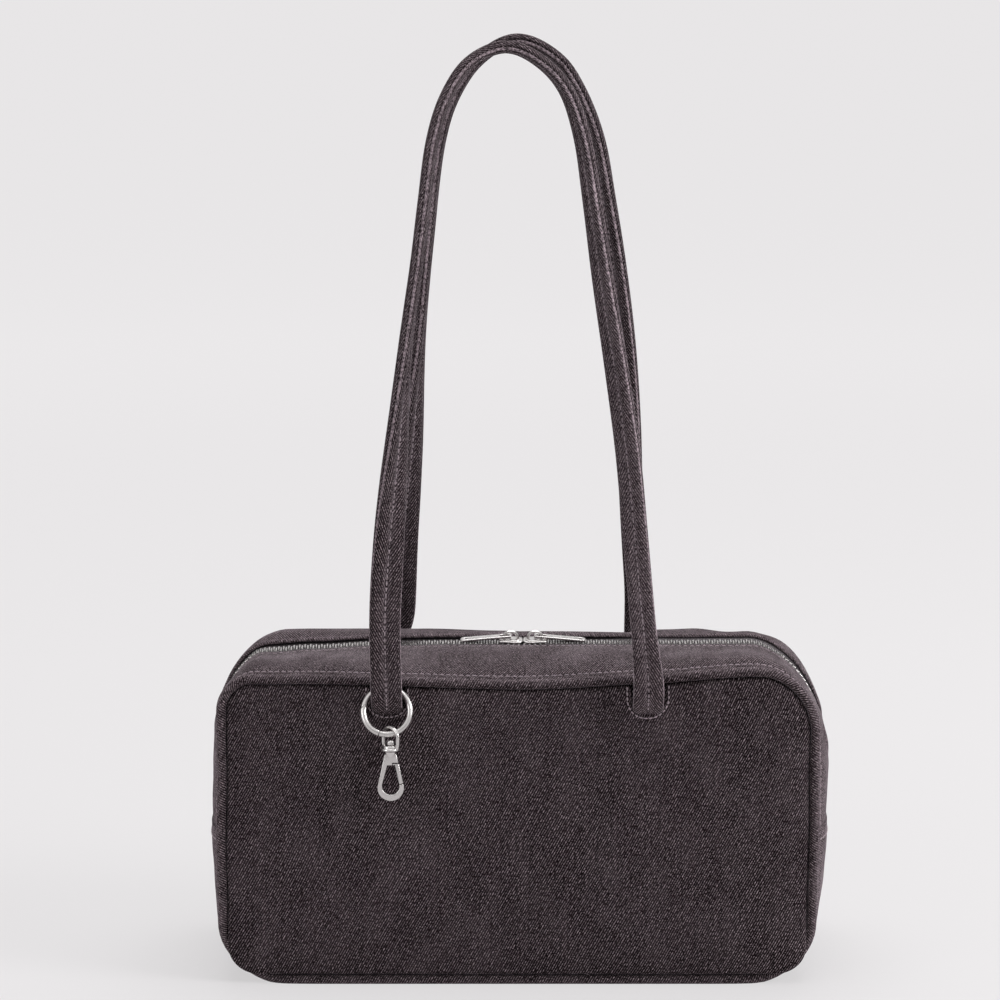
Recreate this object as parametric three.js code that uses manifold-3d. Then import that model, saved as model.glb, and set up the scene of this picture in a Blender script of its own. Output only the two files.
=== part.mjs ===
// A bowler bag in washed black denim: two crowned panels, a zipped gusset between rounded welts,
// two folded denim handles, and a spring ring with a swivel clasp on the front left handle end.
// Millimetres, +Z up. The bag stands on Z = 0, centred on X and Y, and its front faces -Y.
import * as THREE from 'three';
import Module from 'manifold-3d';
import { mergeVertices } from 'three/addons/utils/BufferGeometryUtils.js';

const wasm = await Module();
wasm.setup();
const { clamp, lerp, smoothstep, degToRad } = THREE.MathUtils;

// Body: the seam line where the panels meet the gusset
const seamWidthTop = 294;
const seamWidthBase = 289;
const seamLow = 3;
const seamHigh = 153.5;
const seamDepth = 104;
const topCornerRadius = 26;
const baseCornerRadius = 20;
const sideSeamHeight = 78;

// Cloth
const panelCloth = 2.4;
const gussetCloth = 1.6;
const liningCloth = 0.8;
const facingCloth = 1.2;
const weltRadius = 2.4;
const seamAllowance = 6;
const clearance = 0.3;

// How far the soft walls swell out beyond the seam line
const gussetSeat = 0.6;
const gussetCrown = 7;
const crownPower = 4;
const baseFlatShare = 0.75;
const panelSeat = 0.4;
const panelCrown = 3;
const panelCornerRadius = 1.5;

// Base board
const boardThickness = 2.4;
const boardInset = 2;
const boardCornerRadius = 9;

// Handles
const handleSpread = 127;
const handleRise = 305;
const hingeRise = 0.5;
const handleWidth = 15.6;
const handleThickness = 6;
const handleStandOff = 64.9;
const handleMeet = 9.5;
const handleTwist = degToRad(86);
const leftTwistRise = [0.05, 0.58];
const rightTwistPower = 1.2;
const rightWidthShare = 0.8;
const rightNarrowRise = 0.15;
const narrowStretch = 0.3;
const strapRollShare = 0.3;
const endWidth = 14.4;
const endThickness = 4.6;
const endLength = 17.5;
const endCornerRadius = 5;
const endBellyRise = 9.5;
const notchWidth = 20;
const notchDrop = 1;
const facingMargin = 5;

// Zip
const zipOpening = 12;
const tapeReach = 14;
const tapeCloth = 0.8;
const tapeSink = 0.7;
const toothPitch = 2.7;
const toothTip = 0.75;
const toothFoot = 1.2;
const toothReach = 1.1;
const toothProud = 0.2;
const toothThickness = 2.4;
const beadWidth = 1.3;
const sliderMeet = 3;
const sliderLength = 12;
const sliderNoseWidth = 9;
const sliderTailWidth = 7.4;
const noseRound = 2.2;
const tailChamfer = 1;
const sliderPlate = 1.1;
const sliderPlay = 0.4;
const postLength = 2.4;
const postWidth = 1.2;
const bridgeLength = 8.6;
const bridgeHeight = 4.6;
const bridgeBar = 1.1;
const bridgeWidth = 2.2;
const pullLength = 26;
const pullWidth = 5;
const pullThickness = 1.2;
const pullBar = 1.2;
const pullHole = 2;
const pullHoleInset = 2.8;
const pullDroop = degToRad(4.6);

// Key ring
const ringDiameter = 25.4;
const ringWire = 2.8;
const ringDrop = 4.6;
const ringTilt = degToRad(22);
const ringSeat = 1.8;
const ringGateFree = degToRad(168);
const ringGateHinge = degToRad(252);

// Swivel clasp
const eyeWidth = 12;
const eyeBar = 1.9;
const eyeHole = 7.8;
const eyeBase = 2.6;
const eyeSlack = 0.9;
const eyeTurn = degToRad(-44);
const claspSlip = degToRad(9.7);
const stemRadius = 1.2;
const stemHeadRadius = 1.9;
const stemHeadHeight = 2.4;
const collarRadius = 2.9;
const collarHeight = 2.2;
const hookLength = 22.6;
const hookWidth = 13;
const hookNeck = 6;
const hookThickness = 3;
const hookHoleLength = 15.8;
const hookHoleWidth = 8.4;
const hookHoleNeck = 3.4;
const hookFoot = 3.2;
const gateLength = 10.6;
const gateInner = 0.85;
const gatePlay = 0.6;
const gatePivotX = 1.9;
const gatePivotDrop = 1.1;

// Facets
const roundSides = 8;
const weltSides = 6;
const latheSides = 14;
const ringFacet = degToRad(15);
const strapSteps = 28;
const strapBunchPower = 1.5;
const teethPerCell = 3;

// Values that follow from the sizes above
const seamHalf = seamDepth / 2;
const seamClear = weltRadius + clearance;
const stripEdge = seamHalf - seamClear;
const baseCrown = seamLow - gussetSeat;
const panelCrownReach = Math.min(topCornerRadius, baseCornerRadius) - panelCornerRadius;
const panelFace = seamHalf + panelSeat + panelCrown;
const handleHinge = seamHigh + hingeRise;
const endTip = handleHinge - endLength;
const liningDrop = gussetCloth + clearance;
const zipLiningDrop = liningDrop + tapeCloth + clearance;
const toothRoot = toothReach + clearance;
const combEdge = toothRoot + beadWidth;
const zipParting = (postWidth / 2 + toothReach) + clearance;
const ringRadius = (ringDiameter - ringWire) / 2;
const ringPivotZ = handleHinge - ringDrop;
const ringHeight = ringPivotZ - ringRadius * Math.cos(ringTilt);

const denim = { color: 0x4a4448, roughness: 0.95, metalness: 0 };
const lining = { color: 0x3d383b, roughness: 0.9, metalness: 0 };
const tapeFabric = { color: 0x2b282a, roughness: 0.9, metalness: 0 };
const nickel = { color: 0xb9b6b8, roughness: 0.35, metalness: 1 };
const board = { color: 0x2e2c2d, roughness: 0.9, metalness: 0 };

const bag = new THREE.Group();

function addPart(name, geometry, look, parent = bag) {
  const mesh = new THREE.Mesh(geometry, new THREE.MeshStandardMaterial({ ...look, flatShading: true }));
  mesh.name = name;
  parent.add(mesh);
  return mesh;
}

// Solids from points and faces

function signedVolume(points, faces) {
  let sum = 0;
  for (const [a, b, c] of faces) {
    sum += points[a].dot(points[b].clone().cross(points[c]));
  }
  return sum / 6;
}

function solid(points, faces) {
  const outward = signedVolume(points, faces) > 0;
  const turned = outward ? faces : faces.map(([a, b, c]) => [a, c, b]);
  const geometry = new THREE.BufferGeometry().setFromPoints(points);
  geometry.setIndex(turned.flat());
  return geometry;
}

// Triangles of a flat outline, all turned the way the outline's own corners run anticlockwise
function fillOutline(outline) {
  const turn = ([a, b, c]) => {
    const ab = outline[b].clone().sub(outline[a]);
    const ac = outline[c].clone().sub(outline[a]);
    return ab.cross(ac) > 0 ? [a, b, c] : [a, c, b];
  };
  return THREE.ShapeUtils.triangulateShape(outline, []).map(turn);
}

// A ring of points laid flat in its own plane
function flatten(ring) {
  const normal = new THREE.Vector3();
  ring.forEach((point, i) => normal.add(point.clone().cross(ring[(i + 1) % ring.length])));
  const across = ring[1].clone().sub(ring[0]).normalize();
  const up = normal.normalize().cross(across);
  return ring.map((point) => new THREE.Vector2(point.dot(across), point.dot(up)));
}

// A four-cornered patch, split along its shorter diagonal so that parallel skins split alike. Equal
// diagonals, which differ only by rounding, count as a tie.
function quad(points, a, b, c, d) {
  const splitAC = points[a].distanceTo(points[c]) < points[b].distanceTo(points[d]) * (1 + 1e-6);
  return splitAC ? [[a, b, c], [a, c, d]] : [[a, b, d], [b, c, d]];
}

// A skin through rings of equal count, capped at both ends or closed on itself
function loft(rings, closed = false) {
  const count = rings[0].length;
  const points = rings.flat();
  const faces = [];
  const spans = closed ? rings.length : rings.length - 1;
  for (let i = 0; i < spans; i++) {
    const near = i * count;
    const far = ((i + 1) % rings.length) * count;
    for (let k = 0; k < count; k++) {
      const next = (k + 1) % count;
      faces.push(...quad(points, near + k, near + next, far + next, far + k));
    }
  }
  if (!closed) {
    const last = (rings.length - 1) * count;
    fillOutline(flatten(rings[0])).forEach(([a, b, c]) => faces.push([a, c, b]));
    fillOutline(flatten(rings.at(-1))).forEach(([a, b, c]) => faces.push([last + a, last + b, last + c]));
  }
  return solid(points, faces);
}

// Joining and cutting

function toManifold(geometry) {
  const bare = geometry.clone();
  bare.deleteAttribute('normal');
  bare.deleteAttribute('uv');
  const merged = mergeVertices(bare, 1e-4);
  const vertProperties = new Float32Array(merged.attributes.position.array);
  const triVerts = new Uint32Array(merged.index.array);
  return new wasm.Manifold(new wasm.Mesh({ numProp: 3, vertProperties, triVerts }));
}

function toGeometry(manifold) {
  const { vertProperties, triVerts } = manifold.getMesh();
  const geometry = new THREE.BufferGeometry();
  geometry.setAttribute('position', new THREE.BufferAttribute(vertProperties, 3));
  geometry.setIndex(new THREE.BufferAttribute(triVerts, 1));
  return geometry;
}

const join = (...pieces) => toGeometry(pieces.map(toManifold).reduce((sum, piece) => sum.add(piece)));
const take = (rest, tool) => rest.subtract(toManifold(tool));
const cut = (piece, ...tools) => toGeometry(tools.reduce(take, toManifold(piece)));
const common = (piece, other) => toGeometry(toManifold(piece).intersect(toManifold(other)));

const spread = (from, to, steps) => Array.from({ length: steps + 1 }, (_, i) => lerp(from, to, i / steps));

// A shape drawn in X and Z, given depth along Y and centred on Y = 0
function slab(shape, depth) {
  const geometry = new THREE.ExtrudeGeometry(shape, { depth, bevelEnabled: false, curveSegments: 5 });
  return geometry.translate(0, 0, -depth / 2).rotateX(Math.PI / 2);
}

// A shape drawn in X and Y, given height from z upward
function plate(shape, z, height) {
  const geometry = new THREE.ExtrudeGeometry(shape, { depth: height, bevelEnabled: false, curveSegments: 4 });
  return geometry.translate(0, 0, z);
}

function block(x0, x1, y0, y1, z0, z1) {
  const geometry = new THREE.BoxGeometry(x1 - x0, y1 - y0, z1 - z0);
  return geometry.translate((x0 + x1) / 2, (y0 + y1) / 2, (z0 + z1) / 2);
}

function roundedRectangle(x0, x1, y0, y1, radius) {
  const shape = new THREE.Shape();
  shape.moveTo(x0 + radius, y0);
  shape.lineTo(x1 - radius, y0);
  shape.absarc(x1 - radius, y0 + radius, radius, -Math.PI / 2, 0, false);
  shape.absarc(x1 - radius, y1 - radius, radius, 0, Math.PI / 2, false);
  shape.absarc(x0 + radius, y1 - radius, radius, Math.PI / 2, Math.PI, false);
  shape.absarc(x0 + radius, y0 + radius, radius, Math.PI, Math.PI * 1.5, false);
  return shape;
}

// The seam line in X and Z, clockwise seen from the front

function sideHalf(z) {
  return lerp(seamWidthBase, seamWidthTop, (z - seamLow) / (seamHigh - seamLow)) / 2;
}

// The arc that rounds a corner, with the points where it leaves its two straight neighbours
function roundCorner(before, at, after, radius) {
  const back = before.clone().sub(at).normalize();
  const on = after.clone().sub(at).normalize();
  const halfAngle = Math.acos(back.dot(on)) / 2;
  const reach = radius / Math.tan(halfAngle);
  const inward = back.clone().add(on).normalize();
  const centre = at.clone().addScaledVector(inward, radius / Math.sin(halfAngle));
  const start = at.clone().addScaledVector(back, reach);
  const end = at.clone().addScaledVector(on, reach);
  const startAngle = start.clone().sub(centre).angle();
  const endAngle = end.clone().sub(centre).angle();
  const arc = new THREE.EllipseCurve(centre.x, centre.y, radius, radius, startAngle, endAngle, true);
  return { start, arc, end };
}

function seamRun(side, z, radius) {
  const begin = new THREE.Vector2(-side * sideHalf(sideSeamHeight), sideSeamHeight);
  const first = new THREE.Vector2(-side * sideHalf(z), z);
  const second = new THREE.Vector2(side * sideHalf(z), z);
  const finish = new THREE.Vector2(side * sideHalf(sideSeamHeight), sideSeamHeight);
  const one = roundCorner(begin, first, second, radius);
  const two = roundCorner(first, second, finish, radius);
  return [
    new THREE.LineCurve(begin, one.start), one.arc, new THREE.LineCurve(one.end, two.start), two.arc,
    new THREE.LineCurve(two.end, finish),
  ];
}

const upperRun = seamRun(1, seamHigh, topCornerRadius);
const lowerRun = seamRun(-1, seamLow, baseCornerRadius);

function stationOn(curve, t) {
  const point = curve.getPoint(t);
  const tangent = curve.getTangent(t);
  return { point, normal: new THREE.Vector2(-tangent.y, tangent.x) };
}

// Stations along a run, with s the distance from its start measured at the crown of the gusset
function stationsOf(run, arcSteps) {
  const list = [];
  let travelled = 0;
  for (const curve of run) {
    const length = crownLength(curve);
    const steps = curve.isEllipseCurve ? arcSteps : 1;
    for (let i = 0; i < steps; i++) {
      list.push({ ...stationOn(curve, i / steps), s: travelled + (length * i) / steps });
    }
    travelled += length;
  }
  list.push({ ...stationOn(run.at(-1), 1), s: travelled });
  return list;
}

function crownLength(curve) {
  const stretch = curve.isEllipseCurve ? 1 + (gussetSeat + gussetCrown) / curve.xRadius : 1;
  return curve.getLength() * stretch;
}

const upperStations = stationsOf(upperRun, 5);
const lowerStations = stationsOf(lowerRun, 4);
const seamLoop = [...upperStations.slice(0, -1), ...lowerStations.slice(0, -1)];
const zipLength = upperStations.at(-1).s;
const zipCrownHeight = seamHigh + gussetSeat + gussetCrown;

function zipStation(s) {
  let left = s;
  for (const curve of upperRun) {
    const length = crownLength(curve);
    if (left <= length) {
      return stationOn(curve, left / length);
    }
    left -= length;
  }
  return stationOn(upperRun.at(-1), 1);
}

// The gusset: a swell across the depth of the bag that fades to a flat sole at the base

function gussetPoint({ point, normal }, y, below) {
  const sole = normal.y < 0 ? normal.y ** 2 : 0;
  const crown = lerp(gussetCrown, baseCrown, sole);
  const flat = baseFlatShare * sole;
  const fall = Math.max(0, Math.abs(y) / seamHalf - flat) / (1 - flat);
  const height = gussetSeat + crown * (1 - fall ** crownPower) - below;
  return new THREE.Vector3(point.x + normal.x * height, y, point.y + normal.y * height);
}

function gussetStrip(stations, across, below, thickness) {
  const section = (at) => [
    ...across.map((y) => gussetPoint(at, y, below)),
    ...across.toReversed().map((y) => gussetPoint(at, y, below + thickness)),
  ];
  return loft(stations.map(section));
}

// Stations pulled back a little from both ends, so that two strips meet with a clearance
function trimmed(stations) {
  const pull = (at, z) => ({ ...at, point: new THREE.Vector2(Math.sign(at.point.x) * sideHalf(z), z) });
  const up = Math.sign(stations[1].point.y - stations[0].point.y);
  const z = sideSeamHeight + (up * clearance) / 2;
  return [pull(stations[0], z), ...stations.slice(1, -1), pull(stations.at(-1), z)];
}

const zipRun = trimmed(upperStations);
const baseRun = trimmed(lowerStations);
const liningEdge = stripEdge - liningCloth - clearance;
const soleHalf = baseFlatShare * seamHalf;
const mirrored = (half) => [...half.map((y) => -y), 0, ...half.toReversed()];
const baseAcross = mirrored([stripEdge, lerp(stripEdge, soleHalf, 0.4), soleHalf, soleHalf * 0.6]);
for (const [name, side] of [['front', -1], ['back', 1]]) {
  const across = spread(side * zipOpening / 2, side * stripEdge, 5);
  addPart(`zip_strip_${name}`, gussetStrip(zipRun, across, 0, gussetCloth), denim);
  const lined = spread(side * (zipOpening / 2 + seamAllowance), side * liningEdge, 2);
  addPart(`lining_zip_${name}`, gussetStrip(zipRun, lined, zipLiningDrop, liningCloth), lining);
}
addPart('base_strip', gussetStrip(baseRun, baseAcross, 0, gussetCloth), denim);
const baseLined = mirrored([liningEdge, soleHalf]);
addPart('lining_base', gussetStrip(baseRun, baseLined, liningDrop, liningCloth), lining);

// Base board, loose on the lining of the sole
const boardZ = liningDrop + liningCloth + clearance;
const boardHalfX = sideHalf(seamLow) - baseCornerRadius - boardInset;
const boardHalfY = soleHalf - boardInset;
const boardShape = roundedRectangle(-boardHalfX, boardHalfX, -boardHalfY, boardHalfY, boardCornerRadius);
addPart('base_board', plate(boardShape, boardZ, boardThickness), board);

// Welts: rounded rolls round both panels
function welt(side) {
  const ringAt = ({ point, normal }) => spread(0, 2 * Math.PI, weltSides).slice(0, -1).map((angle) => {
    const out = weltRadius * Math.cos(angle);
    const y = side * seamHalf + weltRadius * Math.sin(angle);
    return new THREE.Vector3(point.x + normal.x * out, y, point.y + normal.y * out);
  });
  return loft(seamLoop.map(ringAt), true);
}

// Panels: a crown that rises from the welt to a flat middle
function panelPoint(side, { point, normal }, inset, behind) {
  const share = (inset - seamClear) / (panelCrownReach - seamClear);
  const crown = panelCrown * (1 - (1 - share) ** 2);
  const y = side * (seamHalf + panelSeat + crown - behind);
  return new THREE.Vector3(point.x - normal.x * inset, y, point.y - normal.y * inset);
}

function panelLayer(side, edge, behind, thickness, steps = 3) {
  const insets = spread(edge, panelCrownReach, steps);
  const ringAt = (inset, depth) => seamLoop.map((at) => panelPoint(side, at, inset, depth));
  const outer = insets.map((inset) => ringAt(inset, behind)).reverse();
  const inner = insets.map((inset) => ringAt(inset, behind + thickness));
  return loft([...outer, ...inner]);
}

// The U-shaped notch that a handle end goes into, grown by a margin on all sides
function notchTool(x, margin) {
  const half = notchWidth / 2 + margin;
  const low = endTip - notchDrop - margin;
  const radius = endCornerRadius + (notchWidth - endWidth) / 2 + margin;
  const shape = new THREE.Shape();
  shape.moveTo(x - half, handleHinge);
  shape.absarc(x - half + radius, low + radius, radius, Math.PI, Math.PI * 1.5, false);
  shape.absarc(x + half - radius, low + radius, radius, Math.PI * 1.5, Math.PI * 2, false);
  shape.lineTo(x + half, handleHinge);
  return slab(shape, seamDepth * 2);
}

const facingDrop = panelCloth + clearance;
const panelLiningDrop = facingDrop + facingCloth + clearance;
const handleX = handleSpread / 2;

// Handle ends: each goes into its notch and swells out to the strap where the handle bends
function handleEnd(side, x) {
  const floor = side * (panelFace - facingDrop + clearance + endThickness / 2);
  const start = new THREE.Vector2(floor, endTip);
  const belly = new THREE.Vector2(side * handleStandOff, endTip + endBellyRise);
  const finish = new THREE.Vector2(side * handleStandOff, handleHinge - clearance / 2);
  const line = new THREE.QuadraticBezierCurve(start, belly, finish);
  const rings = spread(0, 1, 7).map((t) => {
    const { x: y, y: z } = line.getPoint(t);
    const swell = smoothstep(z, ringPivotZ, handleHinge);
    const fromRound = Math.max(0, endCornerRadius - (z - endTip));
    const narrowing = endCornerRadius - Math.sqrt(endCornerRadius ** 2 - fromRound ** 2);
    const width = lerp(endWidth, handleWidth, swell) - 2 * narrowing;
    const thickness = lerp(endThickness, handleThickness, swell);
    const wide = new THREE.Vector3(1, 0, 0);
    const thin = new THREE.Vector3(0, 1, 0);
    return strapSection(new THREE.Vector3(x, y, z), wide, thin, width, thickness);
  });
  return loft(rings);
}

// A folded strap's section: a flat oblong with its long edges rolled
function strapSection(centre, wide, thin, width, thickness) {
  const roll = thickness * strapRollShare;
  const corners = [
    [1, 0, -1], [1, 0, 1], [1, -1, 1], [-1, -1, 1], [-1, 0, 1], [-1, 0, -1], [-1, -1, -1], [1, -1, -1],
  ];
  return corners.map(([alongWide, inset, alongThin]) => {
    const w = alongWide * (width / 2 + inset * roll);
    const t = alongThin * (thickness / 2 - (inset + 1) * roll);
    return centre.clone().addScaledVector(wide, w).addScaledVector(thin, t);
  });
}

for (const [name, side] of [['front', -1], ['back', 1]]) {
  const notches = [-handleX, handleX].map((x) => notchTool(x, 0));
  addPart(`${name}_panel`, cut(panelLayer(side, seamClear, 0, panelCloth), ...notches), denim);
  addPart(`${name}_welt`, welt(side), denim);
  addPart(`lining_${name}`, panelLayer(side, seamAllowance, panelLiningDrop, liningCloth, 2), lining);
  const backing = panelLayer(side, seamClear, facingDrop, facingCloth);
  for (const [hand, x] of [['left', -handleX], ['right', handleX]]) {
    addPart(`${name}_handle_facing_${hand}`, common(backing, notchTool(x, facingMargin)), denim);
    addPart(`${name}_handle_end_${hand}`, handleEnd(side, x), denim);
  }
}

// Handles: the arch of each strap as shares of half the spread and of the rise, left foot to right.
// The rings of each strap bunch towards its tight top bend, and its right leg is the narrower one.
const frontArch = [
  [-1, 0], [-1.01, 0.1], [-0.98, 0.222], [-0.92, 0.378], [-0.85, 0.535], [-0.765, 0.66], [-0.708, 0.758],
  [-0.645, 0.852], [-0.545, 0.917], [-0.363, 0.972], [-0.08, 0.996], [0.179, 0.972], [0.365, 0.93],
  [0.49, 0.857], [0.566, 0.759], [0.655, 0.625], [0.75, 0.497], [0.84, 0.36], [0.9, 0.223], [0.95, 0.106],
  [1, 0],
];
const backArch = [
  [-1, 0], [-0.95, 0.05], [-0.92, 0.162], [-0.885, 0.26], [-0.842, 0.36], [-0.783, 0.509], [-0.705, 0.677],
  [-0.602, 0.846], [-0.495, 0.914], [-0.296, 0.974], [0, 1.006], [0.315, 0.974], [0.47, 0.926],
  [0.615, 0.846], [0.698, 0.749], [0.785, 0.63], [0.854, 0.509], [0.9, 0.38], [0.925, 0.25], [0.955, 0.15],
  [0.985, 0.06], [1, 0],
];

function handle(side, arch) {
  const foot = handleHinge + clearance / 2;
  const points = arch.map(([across, rise]) => {
    const y = side * lerp(handleStandOff, handleMeet, rise);
    return new THREE.Vector3(across * handleX, y, foot + rise * handleRise);
  });
  const line = new THREE.CatmullRomCurve3(points);
  const rings = spread(-1, 1, strapSteps).map((share) => {
    const u = 0.5 + 0.5 * Math.sign(share) * Math.abs(share) ** strapBunchPower;
    const centre = line.getPointAt(u);
    const atFoot = Math.abs(share) === 1;
    const tangent = atFoot ? new THREE.Vector3(0, 0, Math.sign(0.5 - u)) : line.getTangentAt(u);
    const inArch = new THREE.Vector3(0, 1, 0).cross(tangent).normalize();
    const across = tangent.clone().cross(inArch);
    const rise = Math.max(0, (centre.z - foot) / handleRise);
    const turned = share < 0 ? smoothstep(rise, ...leftTwistRise) : rise ** rightTwistPower;
    const angle = handleTwist * turned;
    const wide = inArch.clone().multiplyScalar(Math.cos(angle)).addScaledVector(across, Math.sin(angle));
    const thin = tangent.clone().cross(wide);
    const narrowing = smoothstep(share, 0, narrowStretch) * smoothstep(rise, 0, rightNarrowRise);
    const width = handleWidth * lerp(1, rightWidthShare, narrowing);
    return strapSection(centre, wide, thin, width, handleThickness);
  });
  return loft(rings);
}

addPart('front_handle', handle(-1, frontArch), denim);
addPart('back_handle', handle(1, backArch), denim);

// Zip: two rows of teeth in mesh, drawn apart where the two sliders stand nose to nose

const sliderMeetS = zipLength / 2 + sliderMeet;

function partingAt(s) {
  const away = Math.abs(s - sliderMeetS);
  return zipParting * (1 - smoothstep(away, postLength * 2, sliderLength));
}

function zipPoint(s, y, below) {
  const { point, normal } = zipStation(s);
  const height = gussetSeat + gussetCrown - below;
  return new THREE.Vector3(point.x + normal.x * height, y, point.y + normal.y * height);
}

// A comb: the teeth of one row stand on the corded edge of their tape. The outline is laid out along
// the rail and across it, filled a few teeth at a time, and given its thickness square to the rail.
function toothRow(side, shift) {
  const toothCount = Math.floor(zipLength / toothPitch) - 1;
  const start = (zipLength - toothCount * toothPitch) / 2 + shift;
  const outline = [];
  const faces = [];
  const walls = [];
  const addPoint = (s, y) => outline.push(new THREE.Vector2(s, y + partingAt(s))) - 1;
  let outer = addPoint(start, combEdge);
  let inner = [addPoint(start, toothRoot)];
  walls.push([outer, inner[0]]);
  for (let tooth = 0; tooth < toothCount; tooth++) {
    const middle = start + (tooth + 0.5) * toothPitch;
    inner.push(addPoint(middle - toothFoot / 2, toothRoot));
    inner.push(addPoint(middle - toothTip / 2, -toothReach));
    inner.push(addPoint(middle + toothTip / 2, -toothReach));
    inner.push(addPoint(middle + toothFoot / 2, toothRoot));
    const end = middle + toothPitch / 2;
    const atSlider = Math.abs(end - sliderMeetS) < sliderLength + toothPitch;
    if (atSlider || (tooth + 1) % teethPerCell === 0 || tooth === toothCount - 1) {
      inner.push(addPoint(end, toothRoot));
      const nextOuter = addPoint(end, combEdge);
      const cell = [...inner, nextOuter, outer];
      const triangles = fillOutline(cell.map((index) => outline[index]));
      faces.push(...triangles.map((corners) => corners.map((corner) => cell[corner])));
      inner.slice(1).forEach((index, i) => walls.push([inner[i], index]));
      walls.push([nextOuter, outer]);
      outer = nextOuter;
      inner = [inner.at(-1)];
    }
  }
  walls.push([inner[0], outer]);
  const level = (below) => outline.map(({ x: s, y }) => zipPoint(s, side * y, below));
  const points = [...level(-toothProud), ...level(toothThickness - toothProud)];
  const low = outline.length;
  const floor = faces.map(([a, b, c]) => [a + low, c + low, b + low]);
  const sides = walls.flatMap(([a, b]) => [[a + low, b + low, b], [a + low, b, a]]);
  return solid(points, [...faces, ...floor, ...sides]);
}

function tape(side) {
  const marks = upperStations.map(({ s }) => s);
  const parted = spread(-sliderLength, sliderLength, 8).map((away) => sliderMeetS + away);
  const stops = [...marks.slice(1, -1), ...parted].sort((a, b) => a - b);
  const ends = [clearance, zipLength - clearance];
  const under = gussetCloth + clearance;
  const dip = (y) => {
    const outward = (y - combEdge) / (zipOpening / 2 - combEdge);
    return lerp(tapeSink, under, clamp(outward, 0, 1));
  };
  const rings = [ends[0], ...stops, ends[1]].map((s) => {
    const inner = combEdge + clearance + partingAt(s);
    const across = [inner, lerp(inner, zipOpening / 2, 0.5), zipOpening / 2, tapeReach];
    const top = across.map((y) => zipPoint(s, side * y, dip(y)));
    const bottom = across.toReversed().map((y) => zipPoint(s, side * y, dip(y) + tapeCloth));
    return [...top, ...bottom];
  });
  return loft(rings);
}

addPart('zip_teeth_front', toothRow(-1, 0), nickel);
addPart('zip_teeth_back', toothRow(1, toothPitch / 2), nickel);
addPart('zip_tape_front', tape(-1), tapeFabric);
addPart('zip_tape_back', tape(1), tapeFabric);

// Sliders: two plates on a post, with a bridge on top. X runs from the nose to the tail, Z from the crown.

const upperPlateZ = toothProud + sliderPlay;
const plateTop = upperPlateZ + sliderPlate;
const lowerPlateZ = toothProud - toothThickness - sliderPlay;
const bridgeStart = (sliderLength - bridgeLength) / 2;
const pullAxisX = sliderLength / 2;
const pullAxisZ = plateTop + (bridgeHeight - bridgeBar) / 2;

function sliderOutline() {
  const nose = sliderNoseWidth / 2;
  const tail = sliderTailWidth / 2;
  const shape = new THREE.Shape();
  shape.moveTo(0, -nose + noseRound);
  shape.quadraticCurveTo(0, -nose, noseRound, -nose);
  shape.lineTo(sliderLength - tailChamfer, -tail);
  shape.lineTo(sliderLength, -tail + tailChamfer);
  shape.lineTo(sliderLength, tail - tailChamfer);
  shape.lineTo(sliderLength - tailChamfer, tail);
  shape.lineTo(noseRound, nose);
  shape.quadraticCurveTo(0, nose, 0, nose - noseRound);
  return shape;
}

function bridge() {
  const lean = bridgeBar;
  const outer = new THREE.Shape();
  outer.moveTo(bridgeStart, -sliderPlate / 2);
  outer.lineTo(bridgeStart + lean, bridgeHeight);
  outer.lineTo(bridgeStart + bridgeLength - lean, bridgeHeight);
  outer.lineTo(bridgeStart + bridgeLength, -sliderPlate / 2);
  outer.lineTo(bridgeStart + bridgeLength - bridgeBar, -sliderPlate / 2);
  outer.lineTo(bridgeStart + bridgeLength - bridgeBar, 0);
  outer.lineTo(bridgeStart + bridgeLength - bridgeBar - lean, bridgeHeight - bridgeBar);
  outer.lineTo(bridgeStart + bridgeBar + lean, bridgeHeight - bridgeBar);
  outer.lineTo(bridgeStart + bridgeBar, 0);
  outer.lineTo(bridgeStart + bridgeBar, -sliderPlate / 2);
  return slab(outer, bridgeWidth).translate(0, 0, plateTop);
}

function slider() {
  const upper = plate(sliderOutline(), upperPlateZ, sliderPlate);
  const lower = plate(sliderOutline(), lowerPlateZ - sliderPlate, sliderPlate);
  const postEnd = clearance + postLength;
  const halfPost = postWidth / 2;
  const halfPlate = sliderPlate / 2;
  const postFoot = lowerPlateZ - halfPlate;
  const post = block(clearance, postEnd, -halfPost, halfPost, postFoot, upperPlateZ + halfPlate);
  return join(upper, lower, post, bridge());
}

// A pull hangs on the bar of its bridge, with its far end down on the teeth
function pull() {
  const inner = pullAxisX - pullBar / 2;
  const half = pullWidth / 2;
  const outline = roundedRectangle(inner, inner + pullLength, -half, half, pullThickness / 2);
  const windowHalf = bridgeWidth / 2 + clearance;
  const windowEnd = pullAxisX + Math.hypot(bridgeLength / 2, pullAxisZ - plateTop) + clearance;
  const window = new THREE.Path();
  window.moveTo(inner + pullBar, -windowHalf);
  window.lineTo(windowEnd, -windowHalf);
  window.lineTo(windowEnd, windowHalf);
  window.lineTo(inner + pullBar, windowHalf);
  const eyelet = new THREE.Path();
  eyelet.absarc(inner + pullLength - pullHoleInset, 0, pullHole / 2, 0, Math.PI * 2, false);
  outline.holes.push(window, eyelet);
  const flat = plate(outline, -pullThickness / 2, pullThickness).translate(-pullAxisX, 0, 0);
  return flat.rotateY(pullDroop).translate(pullAxisX, 0, pullAxisZ);
}

for (const [hand, turn, away] of [['left', Math.PI, -1], ['right', 0, 1]]) {
  const place = new THREE.Group();
  place.position.set(sliderMeet + (away * clearance) / 2, 0, zipCrownHeight);
  place.rotation.z = turn;
  bag.add(place);
  addPart(`zip_slider_${hand}`, slider(), nickel, place);
  addPart(`zip_pull_${hand}`, pull(), nickel, place);
}

// Key ring: a round wire with a sprung gate, tilted outward from behind the strap

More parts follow.
